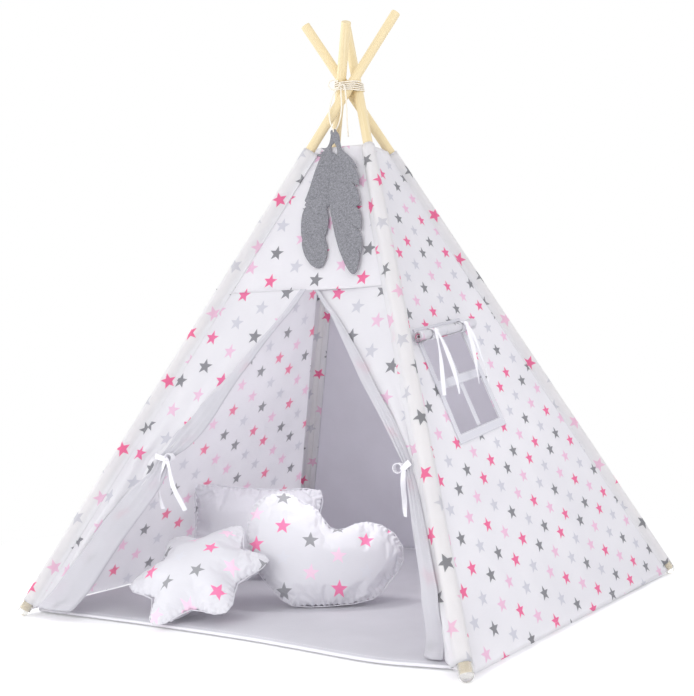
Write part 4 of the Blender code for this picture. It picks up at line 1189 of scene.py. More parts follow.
def makeDoorTie(which):
    sizes, flap = ribbonSizes, flapSizes[which]
    side = 1 if which == "left" else -1
    forward, right = Vector((0, -1, 0)), Vector((side, 0, 0))
    # Where the solid's fold starts to run forward, seen from the front
    turnFirst = flapSizes["backColumns"] + flapSizes["foldColumns"]
    foldFront = flapRow(which, flap["tieHeight"])[turnFirst]
    away = (sizes["knotDepth"] / 2 + canopySizes["cloth"] / 2 + seatGap
            + flapSizes["foldRadius"] * flap["tieBulge"])
    knot = foldFront + sideAxes("front")[2] * away
    shape = bmesh.new()
    addKnot(shape, knot, right, forward, up, 2.0)
    band = knot + Vector((-side * flap["tieTurnBack"], 0, sizes["width"] * flap["bandRise"]))
    for index, swing in enumerate(flap["tailSwings"]):
        line, across = [], []
        for share in stepsBetween(0, 1, 36):
            rise = math.sin(math.pi * share) * (sizes["width"] / 2 + flap["tailLift"])
            wave = 0.002 * math.sin(share * 8 + index) * share
            line.append(knot - up * (flap["tail"] * share)
                        + right * (swing * share ** 0.7 + wave) + forward * rise)
            twist = 0.95 * math.sin(share * 3.6 + index * 1.9) * eased(share * 3)
            across.append(right * math.cos(twist) + forward * math.sin(twist))
        addRibbon(shape, line, across, sizes["tailWidth"])
    loopAngle = math.radians(flap["loopAngle"])
    radius = sizes["loopDiameter"] / 2
    reach = right * math.cos(loopAngle) + up * math.sin(loopAngle)
    rise = up * math.cos(loopAngle) - right * math.sin(loopAngle)
    centre = knot + reach * (radius + sizes["cloth"])
    loop = [centre + (reach * math.cos(angle) + rise * (0.92 * math.sin(angle))) * radius
            for angle in stepsBetween(-math.pi * 0.93, math.pi * 0.93, 34)]
    addRibbon(shape, loop, [forward] * len(loop))
    line = [knot.lerp(band, share) + forward * (0.002 * math.sin(math.pi * share))
            for share in stepsBetween(0, 1, 12)]
    addRibbon(shape, line, [up] * len(line))
    piece = pieceFrom("doorTie" + which.title(), shape, ribbonCloth)
    finishTie(piece, "door_tie_" + which, ("front", "front_" + which))


for whichFlap in ("left", "right"):
    makeDoorFlap(whichFlap)
    makeDoorTie(whichFlap)
print("door flaps and ties made")

# Sleeves: star cloth wrapped over each pole and sewn down beside it. The lines run from the
# seam allowance to the pole, as distances along the panel and out of it
sleeveSizes = {
    "top": 1.114, "bottom": 0.032, "radius": 0.0146, "cloth": 0.0010, "rows": 90, "arcSteps": 16,
    "wingLine": [(0.030, 0.0004), (0.026, 0.0007), (0.0210, 0.0011), (0.0176, 0.0028),
                 (0.0153, 0.0060), (0.0129, 0.0088), (0.0095, 0.0117), (0.0050, 0.0141)],
    "innerLine": [(0.030, -0.0024), (0.0240, -0.0026), (0.0185, -0.0038)],
    "stitchPlace": (0.0275, 0.0016),
}
cornerSides = {"front_left": ("left", "front"), "front_right": ("front", "right"),
               "back_right": ("right", "back"), "back_left": ("back", "left")}


def sleeveSection(corner):
    # Directions across one pole: for each panel, towards it and out of it
    pole = poles[corner]
    pairs = []
    for side in cornerSides[corner]:
        outward = sideAxes(side)[2]
        outward = (outward - pole.down * outward.dot(pole.down)).normalized()
        towards = pole.down.cross(outward).normalized()
        middle = panelPoint(side, 0.5, 0.5, 0, False)
        if (middle - pole.atHeight(0.5)).dot(towards) < 0:
            towards.negate()
        pairs.append((towards, outward))
    return pairs


def makeSleeve(corner):
    sizes = sleeveSizes
    pole = poles[corner]
    (firstTo, firstOut), (secondTo, secondOut) = sleeveSection(corner)
    top = pole.atHeight(sizes["top"])
    length = (sizes["top"] - sizes["bottom"]) / math.cos(pole.tilt)
    radius, wingLine, innerLine = sizes["radius"], sizes["wingLine"], sizes["innerLine"]
    rows, uvRows = [], []
    baseSide = cornerSides[corner][0 if corner in ("back_left", "front_left") else 1]
    printAlong, printRise, _ = sideAxes(baseSide)
    level = secondTo if baseSide == cornerSides[corner][1] else -firstTo
    axis, angle = firstOut.rotation_difference(secondOut).to_axis_angle()
    for share in stepsBetween(0, 1, sizes["rows"]):
        centre = top + pole.down * (length * share)
        swell = 1 + 0.03 * noise.noise(Vector((share * 14, 1.7, len(corner))))
        line = [centre + firstTo * x + firstOut * (y * swell) for x, y in wingLine]
        for step in stepsBetween(0, 1, sizes["arcSteps"]):
            direction = firstOut.copy()
            direction.rotate(Matrix.Rotation(angle * step, 3, axis))
            line.append(centre + direction * (radius * swell))
        line += [centre + secondTo * x + secondOut * (y * swell) for x, y in reversed(wingLine)]
        crestAt = len(line) // 2
        # The same strip comes back round the inner side of the pole
        line += [centre + secondTo * x + secondOut * y for x, y in innerLine]
        line += [centre + (secondTo * (1 - step) + firstTo * step).normalized() * radius
                 for step in stepsBetween(0.24, 0.76, 8)]
        line += [centre + firstTo * x + firstOut * y for x, y in reversed(innerLine)]
        runs = runsAlong(line)
        flats = [centre + level * (run - runs[crestAt]) for run in runs]
        rows.append(line)
        uvRows.append([(flat.dot(printAlong), flat.dot(printRise)) for flat in flats])
    name = "sleeve" + corner.title().replace("_", "")
    piece = gridSheet(name, rows, uvRows, (starCloth, starInside), sizes["cloth"], offset=0)
    x, y = sizes["stitchPlace"]
    stitches = sewStitches(name + "Stitches", [
        [top + pole.down * (length * share) + to * x + out * y
         for share in stepsBetween(0.004, 0.996, 60)]
        for to, out in ((firstTo, firstOut), (secondTo, secondOut))])
    dress(piece, "sleeve_" + corner, "white_cotton", "leg_" + corner, stitches)


for cornerName in poles:
    makeSleeve(cornerName)
    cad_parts["pole_" + cornerName].material_slots[0].material = pineMaterial(cornerName)
clearRubber = rubberMaterial()
for cornerName in poles:
    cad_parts["foot_cap_" + cornerName].material_slots[0].material = clearRubber
print("sleeves, poles and caps finished")

# Lashing
lashingSizes = {"turns": 5, "pitch": 0.0050, "clearance": 0.0004, "knotDiameter": 0.013,
                "knotX": 0.002, "bowDiameter": 0.024, "bowReach": 0.9, "bowEnd": 152.0,
                "bowLift": (-0.82, -0.57)}


def hullPoint(angle, height, spread):
    # Outermost point of the bundle of poles towards an angle, moved out by spread
    normal = Vector((math.cos(angle), math.sin(angle), 0))
    best = None
    for pole in poles.values():
        along = normal.dot(pole.outward) / math.cos(pole.tilt)
        side = normal.dot(pole.sideways)
        reach = poleSizes["radius"] * math.sqrt(along ** 2 + side ** 2)
        centre = pole.atHeight(height)
        far = centre.dot(normal) + reach
        if best is None or far > best[0]:
            touch = pole.outward * (along / math.cos(pole.tilt)) + pole.sideways * side
            best = (far, centre + touch * (poleSizes["radius"] ** 2 / reach))
    return best[1] + normal * spread


def makeLashing():
    sizes = lashingSizes
    cord = cordSizes["diameter"] / 2
    spread = (cord + sizes["clearance"]) / math.cos(poles["front_left"].tilt)
    coarse = []
    for index in range(sizes["turns"] * 24 + 1):
        turn = index / 24
        height = poleSizes["crossingHeight"] + (turn - sizes["turns"] / 2) * sizes["pitch"]
        coarse.append(hullPoint(-math.pi / 2 + math.tau * turn, height, spread))
    piece = makeCord("lashingTurns", smoothRoute(coarse, cordSizes["step"] * 1.4))
    front = hullPoint(-math.pi / 2, poleSizes["crossingHeight"], spread)
    centre = front - Vector((0, cord + seatGap * 2 + sizes["knotDiameter"] / 2, 0))
    centre.x = sizes["knotX"]
    # The knot: one cord wound over itself twice, a small tight ball
    points = []
    reach = sizes["knotDiameter"] / 2 - cord
    for share in stepsBetween(0, 1, 150):
        turn = math.tau * share
        radius = reach * (0.62 + 0.38 * math.cos(3 * turn))
        points.append(centre + Vector((
            radius * math.cos(2 * turn), reach * 0.75 * math.sin(3 * turn),
            radius * math.sin(2 * turn))))
    knot = makeCord("lashingKnot", points)
    lean = Vector((*sizes["bowLift"], 0)).normalized()
    radius = sizes["bowDiameter"] / 2
    middle = centre + lean * (sizes["knotDiameter"] / 2 + radius * sizes["bowReach"])
    end = math.radians(sizes["bowEnd"])
    bow = makeCord("lashingBow", [middle + (lean * math.cos(angle) + up * math.sin(angle)) * radius
                                  for angle in stepsBetween(end, -end, 60)])
    for part, node in ((piece, "lashing"), (knot, "lashing_knot"), (bow, "lashing_bow")):
        dress(part, node, "rope_cotton", "canopy_head")


makeLashing()
print("lashing wound")

# Feathers of felt
featherSizes = {
    "felt": 0.0030, "bevel": 0.0004, "hole": 0.0060, "holeDrop": 0.124, "holeShare": 0.2925,
    "lift": 0.0045,
    "left": {"tipShare": 0.5797, "drop": 0.342, "width": 0.072, "shift": (-12, 10), "layer": 0},
    "right": {"tipShare": 0.8103, "drop": 0.371, "width": 0.086, "shift": (-17, 16), "layer": 1},
}
# Outlines in millimetres from the hole, X across and Y up; a run ends at each sharp corner
leftFeatherRuns = [
    [(18.2, -27), (12.6, -37), (4.2, -45.5), (5.3, -60.7), (17.6, -71.6), (15.2, -91.6),
     (10, -115.1), (7.7, -151.1), (6.3, -181), (6.7, -208), (1.9, -207.7)],
    [(-0.3, -209.7), (3.3, -221.7)],
    [(-2, -216), (5.5, -231)],
    [(8.3, -249.8), (8.4, -270.4), (5.5, -285.1)],
    [(3, -292.3), (6, -301.5)],
    [(12.1, -317.6), (13.9, -335.2), (12.4, -352.2), (8, -365.8), (-0.2, -373.2), (-11.4, -372.4),
     (-24.6, -363.8), (-38.3, -347.4), (-49, -328.3), (-56.8, -306.6), (-57.9, -289.5)],
    [(-62.1, -276.4), (-66.1, -246), (-65.8, -222.2), (-61.9, -205.4)],
    [(-57.8, -199.5)],
    [(-61.6, -195.3), (-58.5, -188)],
    [(-62.8, -182), (-60.1, -173.4), (-57.3, -163.3), (-51.9, -143), (-46.9, -119.4),
     (-41.5, -98.9), (-31.7, -76.7), (-25.7, -67.1)],
    [(-34.6, -63.7), (-42.9, -57.7)],
    [(-30.4, -60.2), (-22.5, -60)],
    [(-27.2, -55.6)],
    [(-18.7, -55.8), (-13.5, -52.4)],
    [(-22.7, -46.2)],
    [(-12.8, -48.3), (-6.3, -45.8), (-0.6, -36.4), (2.4, -23.9), (3.2, -8.4), (6.9, -2.3),
     (13.8, -1.9), (19.6, -15.1)],
]
rightFeatherRuns = [
    [(8.4, -32), (10.3, -46), (11.2, -57.9), (7.6, -73.1), (-0.3, -85), (-11.5, -97.3),
     (-19.8, -116.1), (-26.5, -139.5), (-32.7, -176), (-35.8, -207), (-36.1, -229.3),
     (-34.6, -264.9), (-32, -303.6), (-26.7, -342.9), (-18.7, -379.7), (-10.6, -405.5),
     (-2.4, -418.7), (5.3, -418.7), (12.1, -409.5), (19.3, -389), (22.2, -372), (17.2, -347.4)],
    [(21.9, -361.2), (27.7, -373)],
    [(33.1, -336.8), (31.6, -322.3), (25.2, -305.7), (12.5, -283.9)],
    [(23.5, -297.2), (35.3, -310)],
    [(39, -277.3), (37.5, -256.2), (30.4, -239.9)],
    [(36.4, -238.4), (42, -233.5)],
    [(41.2, -215), (37.6, -194.1), (28.3, -166.7)],
    [(36.4, -176.2), (45.7, -185.8)],
    [(48, -168.1), (46.9, -154.5), (41.8, -134.9), (34.6, -117.7)],
    [(40.7, -125.2), (47.4, -132.5)],
    [(39.6, -106.8), (30.3, -86.5), (21.6, -70.7), (23.3, -52.3), (27.7, -34.1), (26.4, -22.6),
     (20.9, -13.8), (14.5, -9.3), (9.8, -10.5), (7.9, -17.9)],
]


def featherFrame(sizes):
    # Matrix of a feather, X across it, Y up its length and Z outward, and its length
    lift = (featherSizes["lift"] + featherSizes["felt"] / 2
            + sizes["layer"] * (featherSizes["felt"] + seatGap))
    holeHeight = poleSizes["crossingHeight"] - featherSizes["holeDrop"]
    hole, tip = (panelPoint("front", share, height, lift, False) for share, height in (
        (featherSizes["holeShare"], holeHeight), (sizes["tipShare"], holeHeight - sizes["drop"])))
    start, end = sideEnds("front", holeHeight - sizes["drop"] / 2)
    turnedUp = (hole - tip).normalized()
    outward = (end - start).cross(turnedUp).normalized()
    rotation = Matrix((turnedUp.cross(outward), turnedUp, outward)).transposed()
    return Matrix.Translation(hole) @ rotation.to_4x4(), (hole - tip).length


def featherOutline(sizes, runs):
    # Each run is smoothed; near its head the stem bends over to the hole of the cord
    points, last = [], runs[-1][-1]
    for run in runs:
        for point in smoothRoute([(x, y, 0) for x, y in (last, *run)], 2.0)[:-1]:
            near = eased((point.y + 110) / 100)
            points.append(((point.x + sizes["shift"][0] * near) / 1000,
                           (point.y + sizes["shift"][1] * near) / 1000))
        last = run[-1]
    return points


def makeFeather(which, runs):
    sizes = featherSizes[which]
    place, length = featherFrame(sizes)
    data = bpy.data.curves.new("feather", "CURVE")
    data.dimensions = "2D"
    data.fill_mode = "BOTH"
    data.extrude = featherSizes["felt"] / 2 - featherSizes["bevel"]
    data.bevel_depth = featherSizes["bevel"]
    data.bevel_resolution = 1
    reach = featherSizes["hole"] / 2
    ring = [(reach * math.cos(angle), reach * math.sin(angle))
            for angle in stepsBetween(0, math.tau, 20)[:-1]]
    for outline in (featherOutline(sizes, runs), ring):
        spline = data.splines.new("POLY")
        spline.points.add(len(outline) - 1)
        for corner, (x, y) in zip(spline.points, outline):
            corner.co = (x, y, 0, 1)
        spline.use_cyclic_u = True
    flat = addPiece("featherFlat", data)
    mesh = bakedMesh(flat)
    bpy.data.objects.remove(flat)
    mesh.transform(place)
    mesh.materials.clear()
    piece = addPiece("feather" + which.title(), mesh, greyFelt)
    dress(piece, "feather_" + which, "grey_felt", "feathers")


makeFeather("left", leftFeatherRuns)
makeFeather("right", rightFeatherRuns)
print("feathers cut")

# Floor mat
matSizes = {"sideInset": 0.0265, "endInset": 0.0200, "thickness": 0.014, "corner": 0.012,
            "piping": 0.0066, "columns": 110, "rows": 106, "edge": 0.016, "stitchInset": 0.006,
            "drawFrom": 0.10}
frontEdge = smoothRoute([
    (-0.60, 0.010, 0), (-0.387, 0.026, 0), (-0.205, 0.036, 0), (0.043, 0.040, 0),
    (0.198, 0.034, 0), (0.385, 0.024, 0), (0.483, 0.040, 0), (0.56, 0.060, 0),
    (0.60, 0.066, 0)], 0.01)


def matDraw(point):
    # The front edge of the loose mat has crept inwards unevenly
    edge, start = poleSizes["baseDepth"] / 2 - matSizes["endInset"], matSizes["drawFrom"]
    pull = next((place.y for place in frontEdge if place.x >= point.x), frontEdge[-1].y)
    return Vector((point.x, point.y + pull * eased((-point.y - start) / (edge - start)), point.z))


def makeMat():
    # A thin wadded pad: full in the middle, drawn down to its sewn edge
    sizes = matSizes
    halfX = poleSizes["baseWidth"] / 2 - sizes["sideInset"]
    halfY = poleSizes["baseDepth"] / 2 - sizes["endInset"]
    thickness, corner, columns, rows = (sizes[name] for name in
                                        ("thickness", "corner", "columns", "rows"))
    shape = bmesh.new()
    uvLayer = shape.loops.layers.uv.new("UVMap")

    def fallAt(inside):
        return (1 - min(1, inside / sizes["edge"])) ** 2

    def placeAt(column, row, top):
        # Rows and columns crowd towards the edges, where the pad curves down
        u, v = (math.copysign(1 - (1 - abs(share)) ** 1.35, share)
                for share in (2 * column / columns - 1, 2 * row / rows - 1))
        x, y = u * halfX, v * halfY
        insideX, insideY = halfX - abs(x), halfY - abs(y)
        if insideX < corner and insideY < corner:
            away = Vector((corner - insideX, corner - insideY))
            if away.length > corner:
                away *= corner / away.length
            x = math.copysign(halfX - corner + away.x, x)
            y = math.copysign(halfY - corner + away.y, y)
        fall = fallAt(min(halfX - abs(x), halfY - abs(y)))
        middle = thickness / 2
        if not top:
            return matDraw(Vector((x, y, middle * 0.75 * fall)))
        wave = (0.0006 * noise.noise(Vector((x * 7, y * 7, 1)))
                + 0.0005 * noise.noise(Vector((x * 22, y * 22, 5))))
        return matDraw(Vector((x, y, thickness - 0.0010 - (middle - 0.001) * 0.72 * fall
                               + wave * (1 - fall))))

    grids = [[[shape.verts.new(placeAt(column, row, top)) for column in range(columns + 1)]
              for row in range(rows + 1)] for top in (True, False)]
    for grid, top in zip(grids, (True, False)):
        for row in range(rows):
            for column in range(columns):
                corners = [grid[row][column], grid[row][column + 1], grid[row + 1][column + 1],
                           grid[row + 1][column]]
                shape.faces.new(corners if top else list(reversed(corners)))
    rim = ([(0, column) for column in range(columns)] + [(row, columns) for row in range(rows)]
           + [(rows, column) for column in range(columns, 0, -1)]
           + [(row, 0) for row in range(rows, 0, -1)])
    for (row, column), (nextRow, nextColumn) in zip(rim, rim[1:] + rim[:1]):
        shape.faces.new((grids[1][row][column], grids[1][nextRow][nextColumn],
                         grids[0][nextRow][nextColumn], grids[0][row][column]))
    for face in shape.faces:
        for loop in face.loops:
            loop[uvLayer].uv = loop.vert.co.xy
    piece = pieceFrom("floorMat", shape, matCloth)
    inset = sizes["stitchInset"]
    edgeX, edgeY = halfX - inset, halfY - inset
    height = thickness - 0.0004 - (thickness / 2 - 0.001) * 0.72 * fallAt(inset)
    loop = [(edgeX, edgeY), (-edgeX, edgeY), (-edgeX, -edgeY), (edgeX, -edgeY), (edgeX, edgeY)]
    stitches = sewStitches("floorMatStitches", [
        [matDraw(Vector((x + (nextX - x) * share, y + (nextY - y) * share, height)))
         for share in stepsBetween(0.006, 0.994, 100)]
        for (x, y), (nextX, nextY) in zip(loop, loop[1:])])
    dress(piece, "floor_mat", "grey_cotton", "floor_set", stitches)
    radius = sizes["piping"] / 2
    points = []
    for quarter, (signX, signY) in enumerate(((1, 1), (-1, 1), (-1, -1), (1, -1))):
        for angle in stepsBetween(math.pi / 2 * quarter, math.pi / 2 * (quarter + 1), 8):
            turn = Vector((math.cos(angle), math.sin(angle), 0)) * (corner + (radius + seatGap))
            points.append(Vector((signX * (halfX - corner), signY * (halfY - corner),
                                  thickness / 2)) + turn)
    dense = []
    for first, second in zip(points, points[1:] + points[:1]):
        count = max(1, round((second - first).length / 0.012))
        dense += [matDraw(first.lerp(second, index / count)) for index in range(count)]
    shape = bmesh.new()
    addTube(shape, dense, lambda run, angle: radius * (1 + 0.03 * noise.noise(
        Vector((run * 40, math.cos(angle), math.sin(angle))))), 12, closed=True)
    dress(pieceFrom("matPiping", shape, ribbonCloth), "mat_piping", "white_cotton", "floor_set")


makeMat()
print("mat made")

# Cushions: a crowned form, remeshed and blown up by a cloth simulation
cushionSizes = {
    "fullness": 0.55, "voxel": 0.005, "pressure": 4.0, "frames": 20, "cap": 0.012, "shrink": 0.97,
    "spare": -0.06, "pucker": 0.0016, "puckerPitch": 0.014, "puckerReach": 0.016,
    "star": {"span": 0.360, "thickness": 0.085, "tilt": 33.0, "turn": 10.0, "roll": -11.0,
             "x": -0.172, "y": -0.418, "rings": 4},
    "cloud": {"width": 0.392, "height": 0.287, "thickness": 0.115, "lean": 20.0, "turn": 35.0,
              "x": 0.052, "y": -0.226, "rings": 5},
    "pillow": {"width": 0.360, "height": 0.245, "thickness": 0.100, "drawIn": 0.075,
               "corner": 0.035, "lean": 12.0, "turn": 35.0, "roll": -4.0, "x": -0.305,
               "y": -0.060, "rings": 4},
}
# One arm of the star: shares of the turn to the next arm and of the reach
starArmShares = [(-0.14, 0.94), (0.0, 1.02), (0.14, 0.94), (0.32, 0.75), (0.5, 0.63), (0.68, 0.75)]
# The cloud: shares of its width from the middle and of its height
cloudShares = [
    (-0.235, -0.004), (-0.262, 0.060), (-0.330, 0.140), (-0.410, 0.260), (-0.470, 0.430),
    (-0.502, 0.600), (-0.496, 0.765), (-0.455, 0.900), (-0.378, 0.975), (-0.270, 1.002),
    (-0.180, 0.975), (-0.135, 0.850), (-0.090, 0.900), (-0.040, 0.820), (0.000, 0.735),
    (0.030, 0.640), (0.080, 0.650), (0.135, 0.640), (0.185, 0.700), (0.263, 0.718),
    (0.360, 0.690), (0.445, 0.610), (0.500, 0.490), (0.496, 0.365), (0.455, 0.255),
    (0.375, 0.190), (0.370, 0.110), (0.300, 0.040), (0.180, 0.012), (0.050, 0.000),
    (-0.100, -0.002),
]


def leaningPlace(sizes, lean, roll=0.0):
    # X to its right, Y up its face, Z out of its face
    turn = math.radians(sizes["turn"])
    right = Vector((math.cos(turn), math.sin(turn), 0))
    front = Vector((math.sin(turn), -math.cos(turn), 0))
    rise = up * math.cos(lean) - front * math.sin(lean)
    facing = front * math.cos(lean) + up * math.sin(lean)
    rotation = Matrix((right, rise, facing)).transposed().to_4x4()
    return (Matrix.Translation((sizes["x"], sizes["y"], 0)) @ rotation
            @ Matrix.Rotation(roll, 4, "Z"))


def softened(outline, rounds):
    points = [Vector((x, y, 0)) for x, y in outline]
    for _ in range(rounds):
        points = [(points[index - 1] + points[index] * 2 + points[(index + 1) % len(points)]) / 4
                  for index in range(len(points))]
    return points


def crownedForm(outline, thickness, rings):
    # Rings drawn in to the seam and thick in the middle, subdivided once
    count = len(outline)
    centre = sum((Vector((x, y, 0)) for x, y in outline), Vector()) / count
    shape = bmesh.new()
    crease = shape.edges.layers.float.new("crease_edge")
    seam = [shape.verts.new((x, y, 0)) for x, y in outline]
    for faceSide in (1, -1):
        outer = seam
        for ring in range(1, rings):
            share = 1 - ring / rings
            lift = thickness / 2 * (1 - share ** 2) ** cushionSizes["fullness"] * faceSide
            inner = []
            for point in softened(outline, ring * ring):
                placeIn = centre.lerp(point, share)
                inner.append(shape.verts.new((placeIn.x, placeIn.y, lift)))
            for index in range(count):
                after = (index + 1) % count
                face = [outer[index], outer[after], inner[after], inner[index]]
                shape.faces.new(face if faceSide == 1 else reversed(face))
            outer = inner
        top = shape.verts.new((centre.x, centre.y, thickness / 2 * faceSide))
        for index in range(count):
            face = [outer[index], outer[(index + 1) % count], top]
            shape.faces.new(face if faceSide == 1 else reversed(face))
    bmesh.ops.recalc_face_normals(shape, faces=shape.faces)
    for index in range(count):
        shape.edges.get((seam[index - 1], seam[index]))[crease] = 0.7
    form = addPiece("cushionForm", meshFrom("cushionForm", shape))
    smooth = form.modifiers.new("soft", "SUBSURF")
    smooth.levels = smooth.render_levels = 1
    return form


def pointTree(points):
    tree = kdtree.KDTree(len(points))
    for index, point in enumerate(points):
        tree.insert(point, index)
    tree.balance()
    return tree


def blownUp(form, seam):
    # Voxel remesh, then pressure with the seam held; each point moves no further than the cap
    sizes = cushionSizes
    remesh = form.modifiers.new("voxels", "REMESH")
    remesh.mode = "VOXEL"
    remesh.voxel_size = sizes["voxel"]
    data = bakedMesh(form)
    bpy.data.objects.remove(form)
    pad = addPiece("pad", data)
    held = pad.vertex_groups.new(name="seam")
    tree = pointTree(seam)
    rest = [vert.co.copy() for vert in data.vertices]
    for index, place in enumerate(rest):
        if tree.find(place)[2] < sizes["voxel"] * 1.3:
            held.add([index], 1.0, "REPLACE")
    cloth = pad.modifiers.new("blow", "CLOTH")
    settings = cloth.settings
    settings.use_pressure = True
    settings.uniform_pressure_force = sizes["pressure"]
    settings.effector_weights.gravity = 0
    settings.vertex_group_mass = "seam"
    settings.shrink_min = sizes["spare"]
    settings.quality = 6
    settings.mass = 0.2
    cloth.point_cache.frame_start = 1
    cloth.point_cache.frame_end = sizes["frames"]
    scene = bpy.context.scene
    for number in range(1, sizes["frames"] + 1):
        scene.frame_set(number)
    moved = bakedMesh(pad)
    for vert, place in zip(moved.vertices, rest):
        step = vert.co - place
        if step.length > sizes["cap"]:
            vert.co = place + step * (sizes["cap"] / step.length)
    scene.frame_set(1)
    pad.modifiers.remove(cloth)
    for vert, blown in zip(data.vertices, moved.vertices):
        vert.co = blown.co
    bpy.data.meshes.remove(moved)
    finer = pad.modifiers.new("finer", "SUBSURF")
    finer.levels = finer.render_levels = 1
    made = bakedMesh(pad)
    bpy.data.objects.remove(pad)
    return made


def puckerSeam(data, seam):
    # Small gathers where the curved seam draws the cloth in
    sizes = cushionSizes
    runs, tree = runsAlong(seam), pointTree(seam)
    normals = [vert.normal.copy() for vert in data.vertices]
    for vert, normal in zip(data.vertices, normals):
        _, index, distance = tree.find(vert.co)
        if distance > sizes["puckerReach"] * 2.5:
            continue
        before, after = seam[index - 1], seam[(index + 1) % len(seam)]
        along = (after - before).normalized()
        run = runs[index] + (vert.co - seam[index]).dot(along)
        wander = 2.6 * noise.noise(Vector((run * 25, seam[index].x * 9, 4.0)))
        fold = math.sin(math.tau * run / sizes["puckerPitch"] + wander)
        depth = sizes["pucker"] * math.exp(-(distance / sizes["puckerReach"]) ** 2)
        vert.co += normal * (depth * fold * min(1, distance / 0.004))


def makeCushion(shapeName, outline, place, surface, slotName):
    sizes, shrink = cushionSizes[shapeName], cushionSizes["shrink"]
    name, node = "cushion" + shapeName.title(), "cushion_" + shapeName
    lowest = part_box(node)[0][2]
    form = crownedForm(outline, sizes["thickness"], sizes["rings"])
    flat = bakedMesh(form)
    drop = lowest - min((place @ vert.co).z for vert in flat.vertices)
    bpy.data.meshes.remove(flat)
    place = Matrix.Translation((0, 0, drop)) @ place
    corners = softened(outline, 1)
    seam = [point.lerp(after, step / 4)
            for point, after in zip(corners, corners[1:] + corners[:1]) for step in range(4)]
    data = blownUp(form, seam)
    centre = Vector((0, sizes.get("height", 0) / 2, 0))
    for vert in data.vertices:
        vert.co = centre + (vert.co - centre) * shrink
    puckerSeam(data, [centre + (point - centre) * shrink for point in seam])
    uvLayer = data.uv_layers.new(name="UVMap")
    for loop in data.loops:
        uvLayer.data[loop.index].uv = data.vertices[loop.vertex_index].co.xy
    data.transform(place)
    for vert in data.vertices:
        vert.co.z = max(vert.co.z, lowest)
    data.materials.clear()
    data.shade_smooth()
    piece = addPiece(name, data, surface)
    shape = bmesh.new()
    welt = [place @ (centre + (point - centre) * (shrink * 1.004)) for point in seam]
    for point in welt:
        point.z = max(point.z, lowest + 0.0012)
    addTube(shape, welt, lambda run, angle: 0.0011, 8, closed=True)
    welting = pieceFrom(name + "Seam", shape, surface)
    dress(piece, node, slotName, shapeName, welting, slotName)


def makeCushions():
    star, cloud, pillow = (cushionSizes[name] for name in ("star", "cloud", "pillow"))
    outline = []
    for arm in range(6):
        tipAngle = math.pi / 6 + math.pi / 3 * arm + math.radians(star["roll"])
        for turnShare, reachShare in starArmShares:
            angle = tipAngle + math.pi / 3 * turnShare
            radius = star["span"] / 2 * reachShare
            outline.append((radius * math.cos(angle), radius * math.sin(angle)))
    makeCushion("star", outline, leaningPlace(star, math.pi / 2 - math.radians(star["tilt"])),
                starFilledShaded, "star_cotton")
    outline = [(across * cloud["width"], climb * cloud["height"]) for across, climb in cloudShares]
    makeCushion("cloud", outline[::-1], leaningPlace(cloud, math.radians(cloud["lean"])),
                starFilledShaded, "star_cotton")
    outline = []
    for corner in range(4):
        for index in range(7):
            share = index / 7
            point = 1 + pillow["corner"] * abs(1 - 2 * share) ** 6
            x = (1 - 2 * share) * point
            y = (1 - pillow["drawIn"] * math.sin(math.pi * share)) * point
            for _ in range(corner):
                x, y = -y, x
            outline.append((x * pillow["width"] / 2, (y + 1) * pillow["height"] / 2))
    place = leaningPlace(pillow, math.radians(pillow["lean"]), math.radians(pillow["roll"]))
    makeCushion("pillow", outline, place, pillowCloth, "pale_cotton")


makeCushions()
print("cushions blown up")

# Floor, light and background
studioSizes = {"floorReach": 9.0, "floorLift": 0.22, "world": 0.92}
lamps = {
    "keyLight": {"place": (0.4, -3.9, 1.5), "aim": (0, 0, 0.6), "size": 2.6, "power": 42.0},
    "fillLight": {"place": (-3.7, -0.9, 1.7), "aim": (0, 0, 0.6), "size": 2.4, "power": 45.0},
    "sideLight": {"place": (3.9, 0.4, 1.6), "aim": (0, 0, 0.6), "size": 2.6, "power": 24.0},
    "backLight": {"place": (-1.7, 3.6, 1.4), "aim": (0, 0, 0.6), "size": 2.6, "power": 38.0},
    "insideLight": {"place": (0.06, -0.18, 0.56), "aim": (-0.08, 0.30, 0.08), "size": 0.2,
                    "power": 1.1},
}


def seenDirectly(tree):
    # One for rays that come straight from the camera or by way of gloss or glass
    path = tree.nodes.new("ShaderNodeLightPath").outputs
    return mathNode(tree, "MAXIMUM", path["Is Camera Ray"], mathNode(
        tree, "MAXIMUM", path["Is Glossy Ray"], path["Is Transmission Ray"]))


def mixShader(tree, share, first, second):
    return addNode(tree, "ShaderNodeMixShader", {0: share, 1: first.outputs[0],
                                                 2: second.outputs[0]})


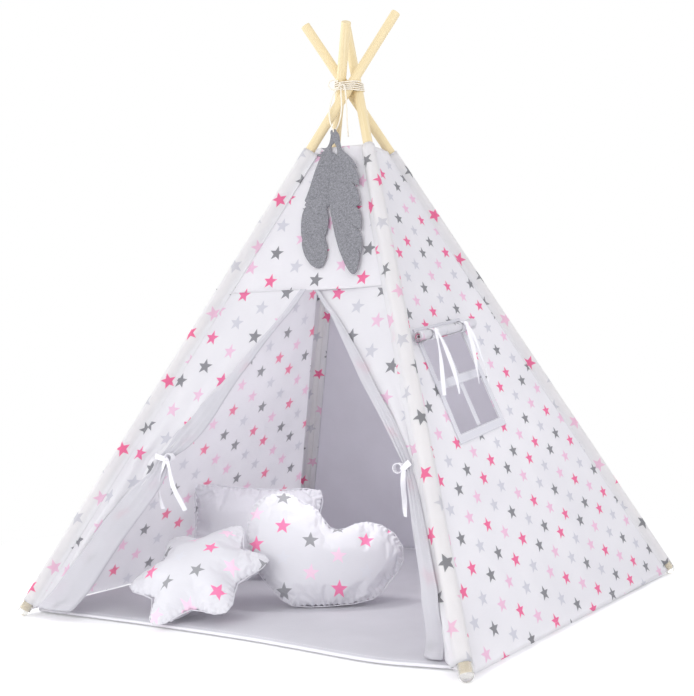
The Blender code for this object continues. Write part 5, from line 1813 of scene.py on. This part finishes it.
def makeStage():
    shape = bmesh.new()
    bmesh.ops.create_grid(shape, x_segments=1, y_segments=1, size=studioSizes["floorReach"])
    floor = pieceFrom("studioFloor", shape)
    made, tree, shader = startMaterial("studioFloor", 0.9, 0.0, 0.1)
    shader.inputs["Base Color"].default_value = (0.92, 0.92, 0.93, 1)
    length = addNode(tree, "ShaderNodeVectorMath", {0: objectPlace(tree)}, operation="LENGTH")
    far = mathNode(tree, "MULTIPLY_ADD", length.outputs["Value"], 1.4, -1.1, clamp=True)
    seen = seenDirectly(tree)
    white, lifted = (addNode(tree, "ShaderNodeEmission", {"Strength": strength})
                     for strength in (1.0, studioSizes["floorLift"]))
    added = addNode(tree, "ShaderNodeAddShader", {0: shader.outputs[0], 1: lifted.outputs[0]})
    near = mixShader(tree, seen, shader, added)
    mixed = mixShader(tree, mathNode(tree, "MULTIPLY", far, seen), near, white)
    tree.links.new(mixed.outputs[0], tree.nodes["Material Output"].inputs["Surface"])
    floor.data.materials.append(made)


def makeWorld():
    world = bpy.data.worlds.new("studioWorld")
    bpy.context.scene.world = world
    world.use_nodes = True
    tree = world.node_tree
    background = tree.nodes["Background"]
    background.inputs["Color"].default_value = (0.965, 0.97, 1.0, 1)
    background.inputs["Strength"].default_value = studioSizes["world"]
    white = addNode(tree, "ShaderNodeBackground", {"Color": (1, 1, 1, 1), "Strength": 1.0})
    mixed = mixShader(tree, seenDirectly(tree), background, white)
    tree.links.new(mixed.outputs[0], tree.nodes["World Output"].inputs["Surface"])


def makeLamp(name, place, aim, size, power):
    data = bpy.data.lights.new(name, "AREA")
    data.shape = "DISK"
    data.size = size
    data.energy = power
    lamp = addPiece(name, data)
    lamp.visible_camera = False
    turn = (Vector(place) - Vector(aim)).normalized().to_track_quat("Z", "Y")
    lamp.matrix_world = Matrix.Translation(place) @ turn.to_matrix().to_4x4()


makeStage()
makeWorld()
for lampName, lampSizes in lamps.items():
    makeLamp(lampName, **lampSizes)
bpy.context.scene.view_settings.view_transform = "Standard"
print("stage lit")
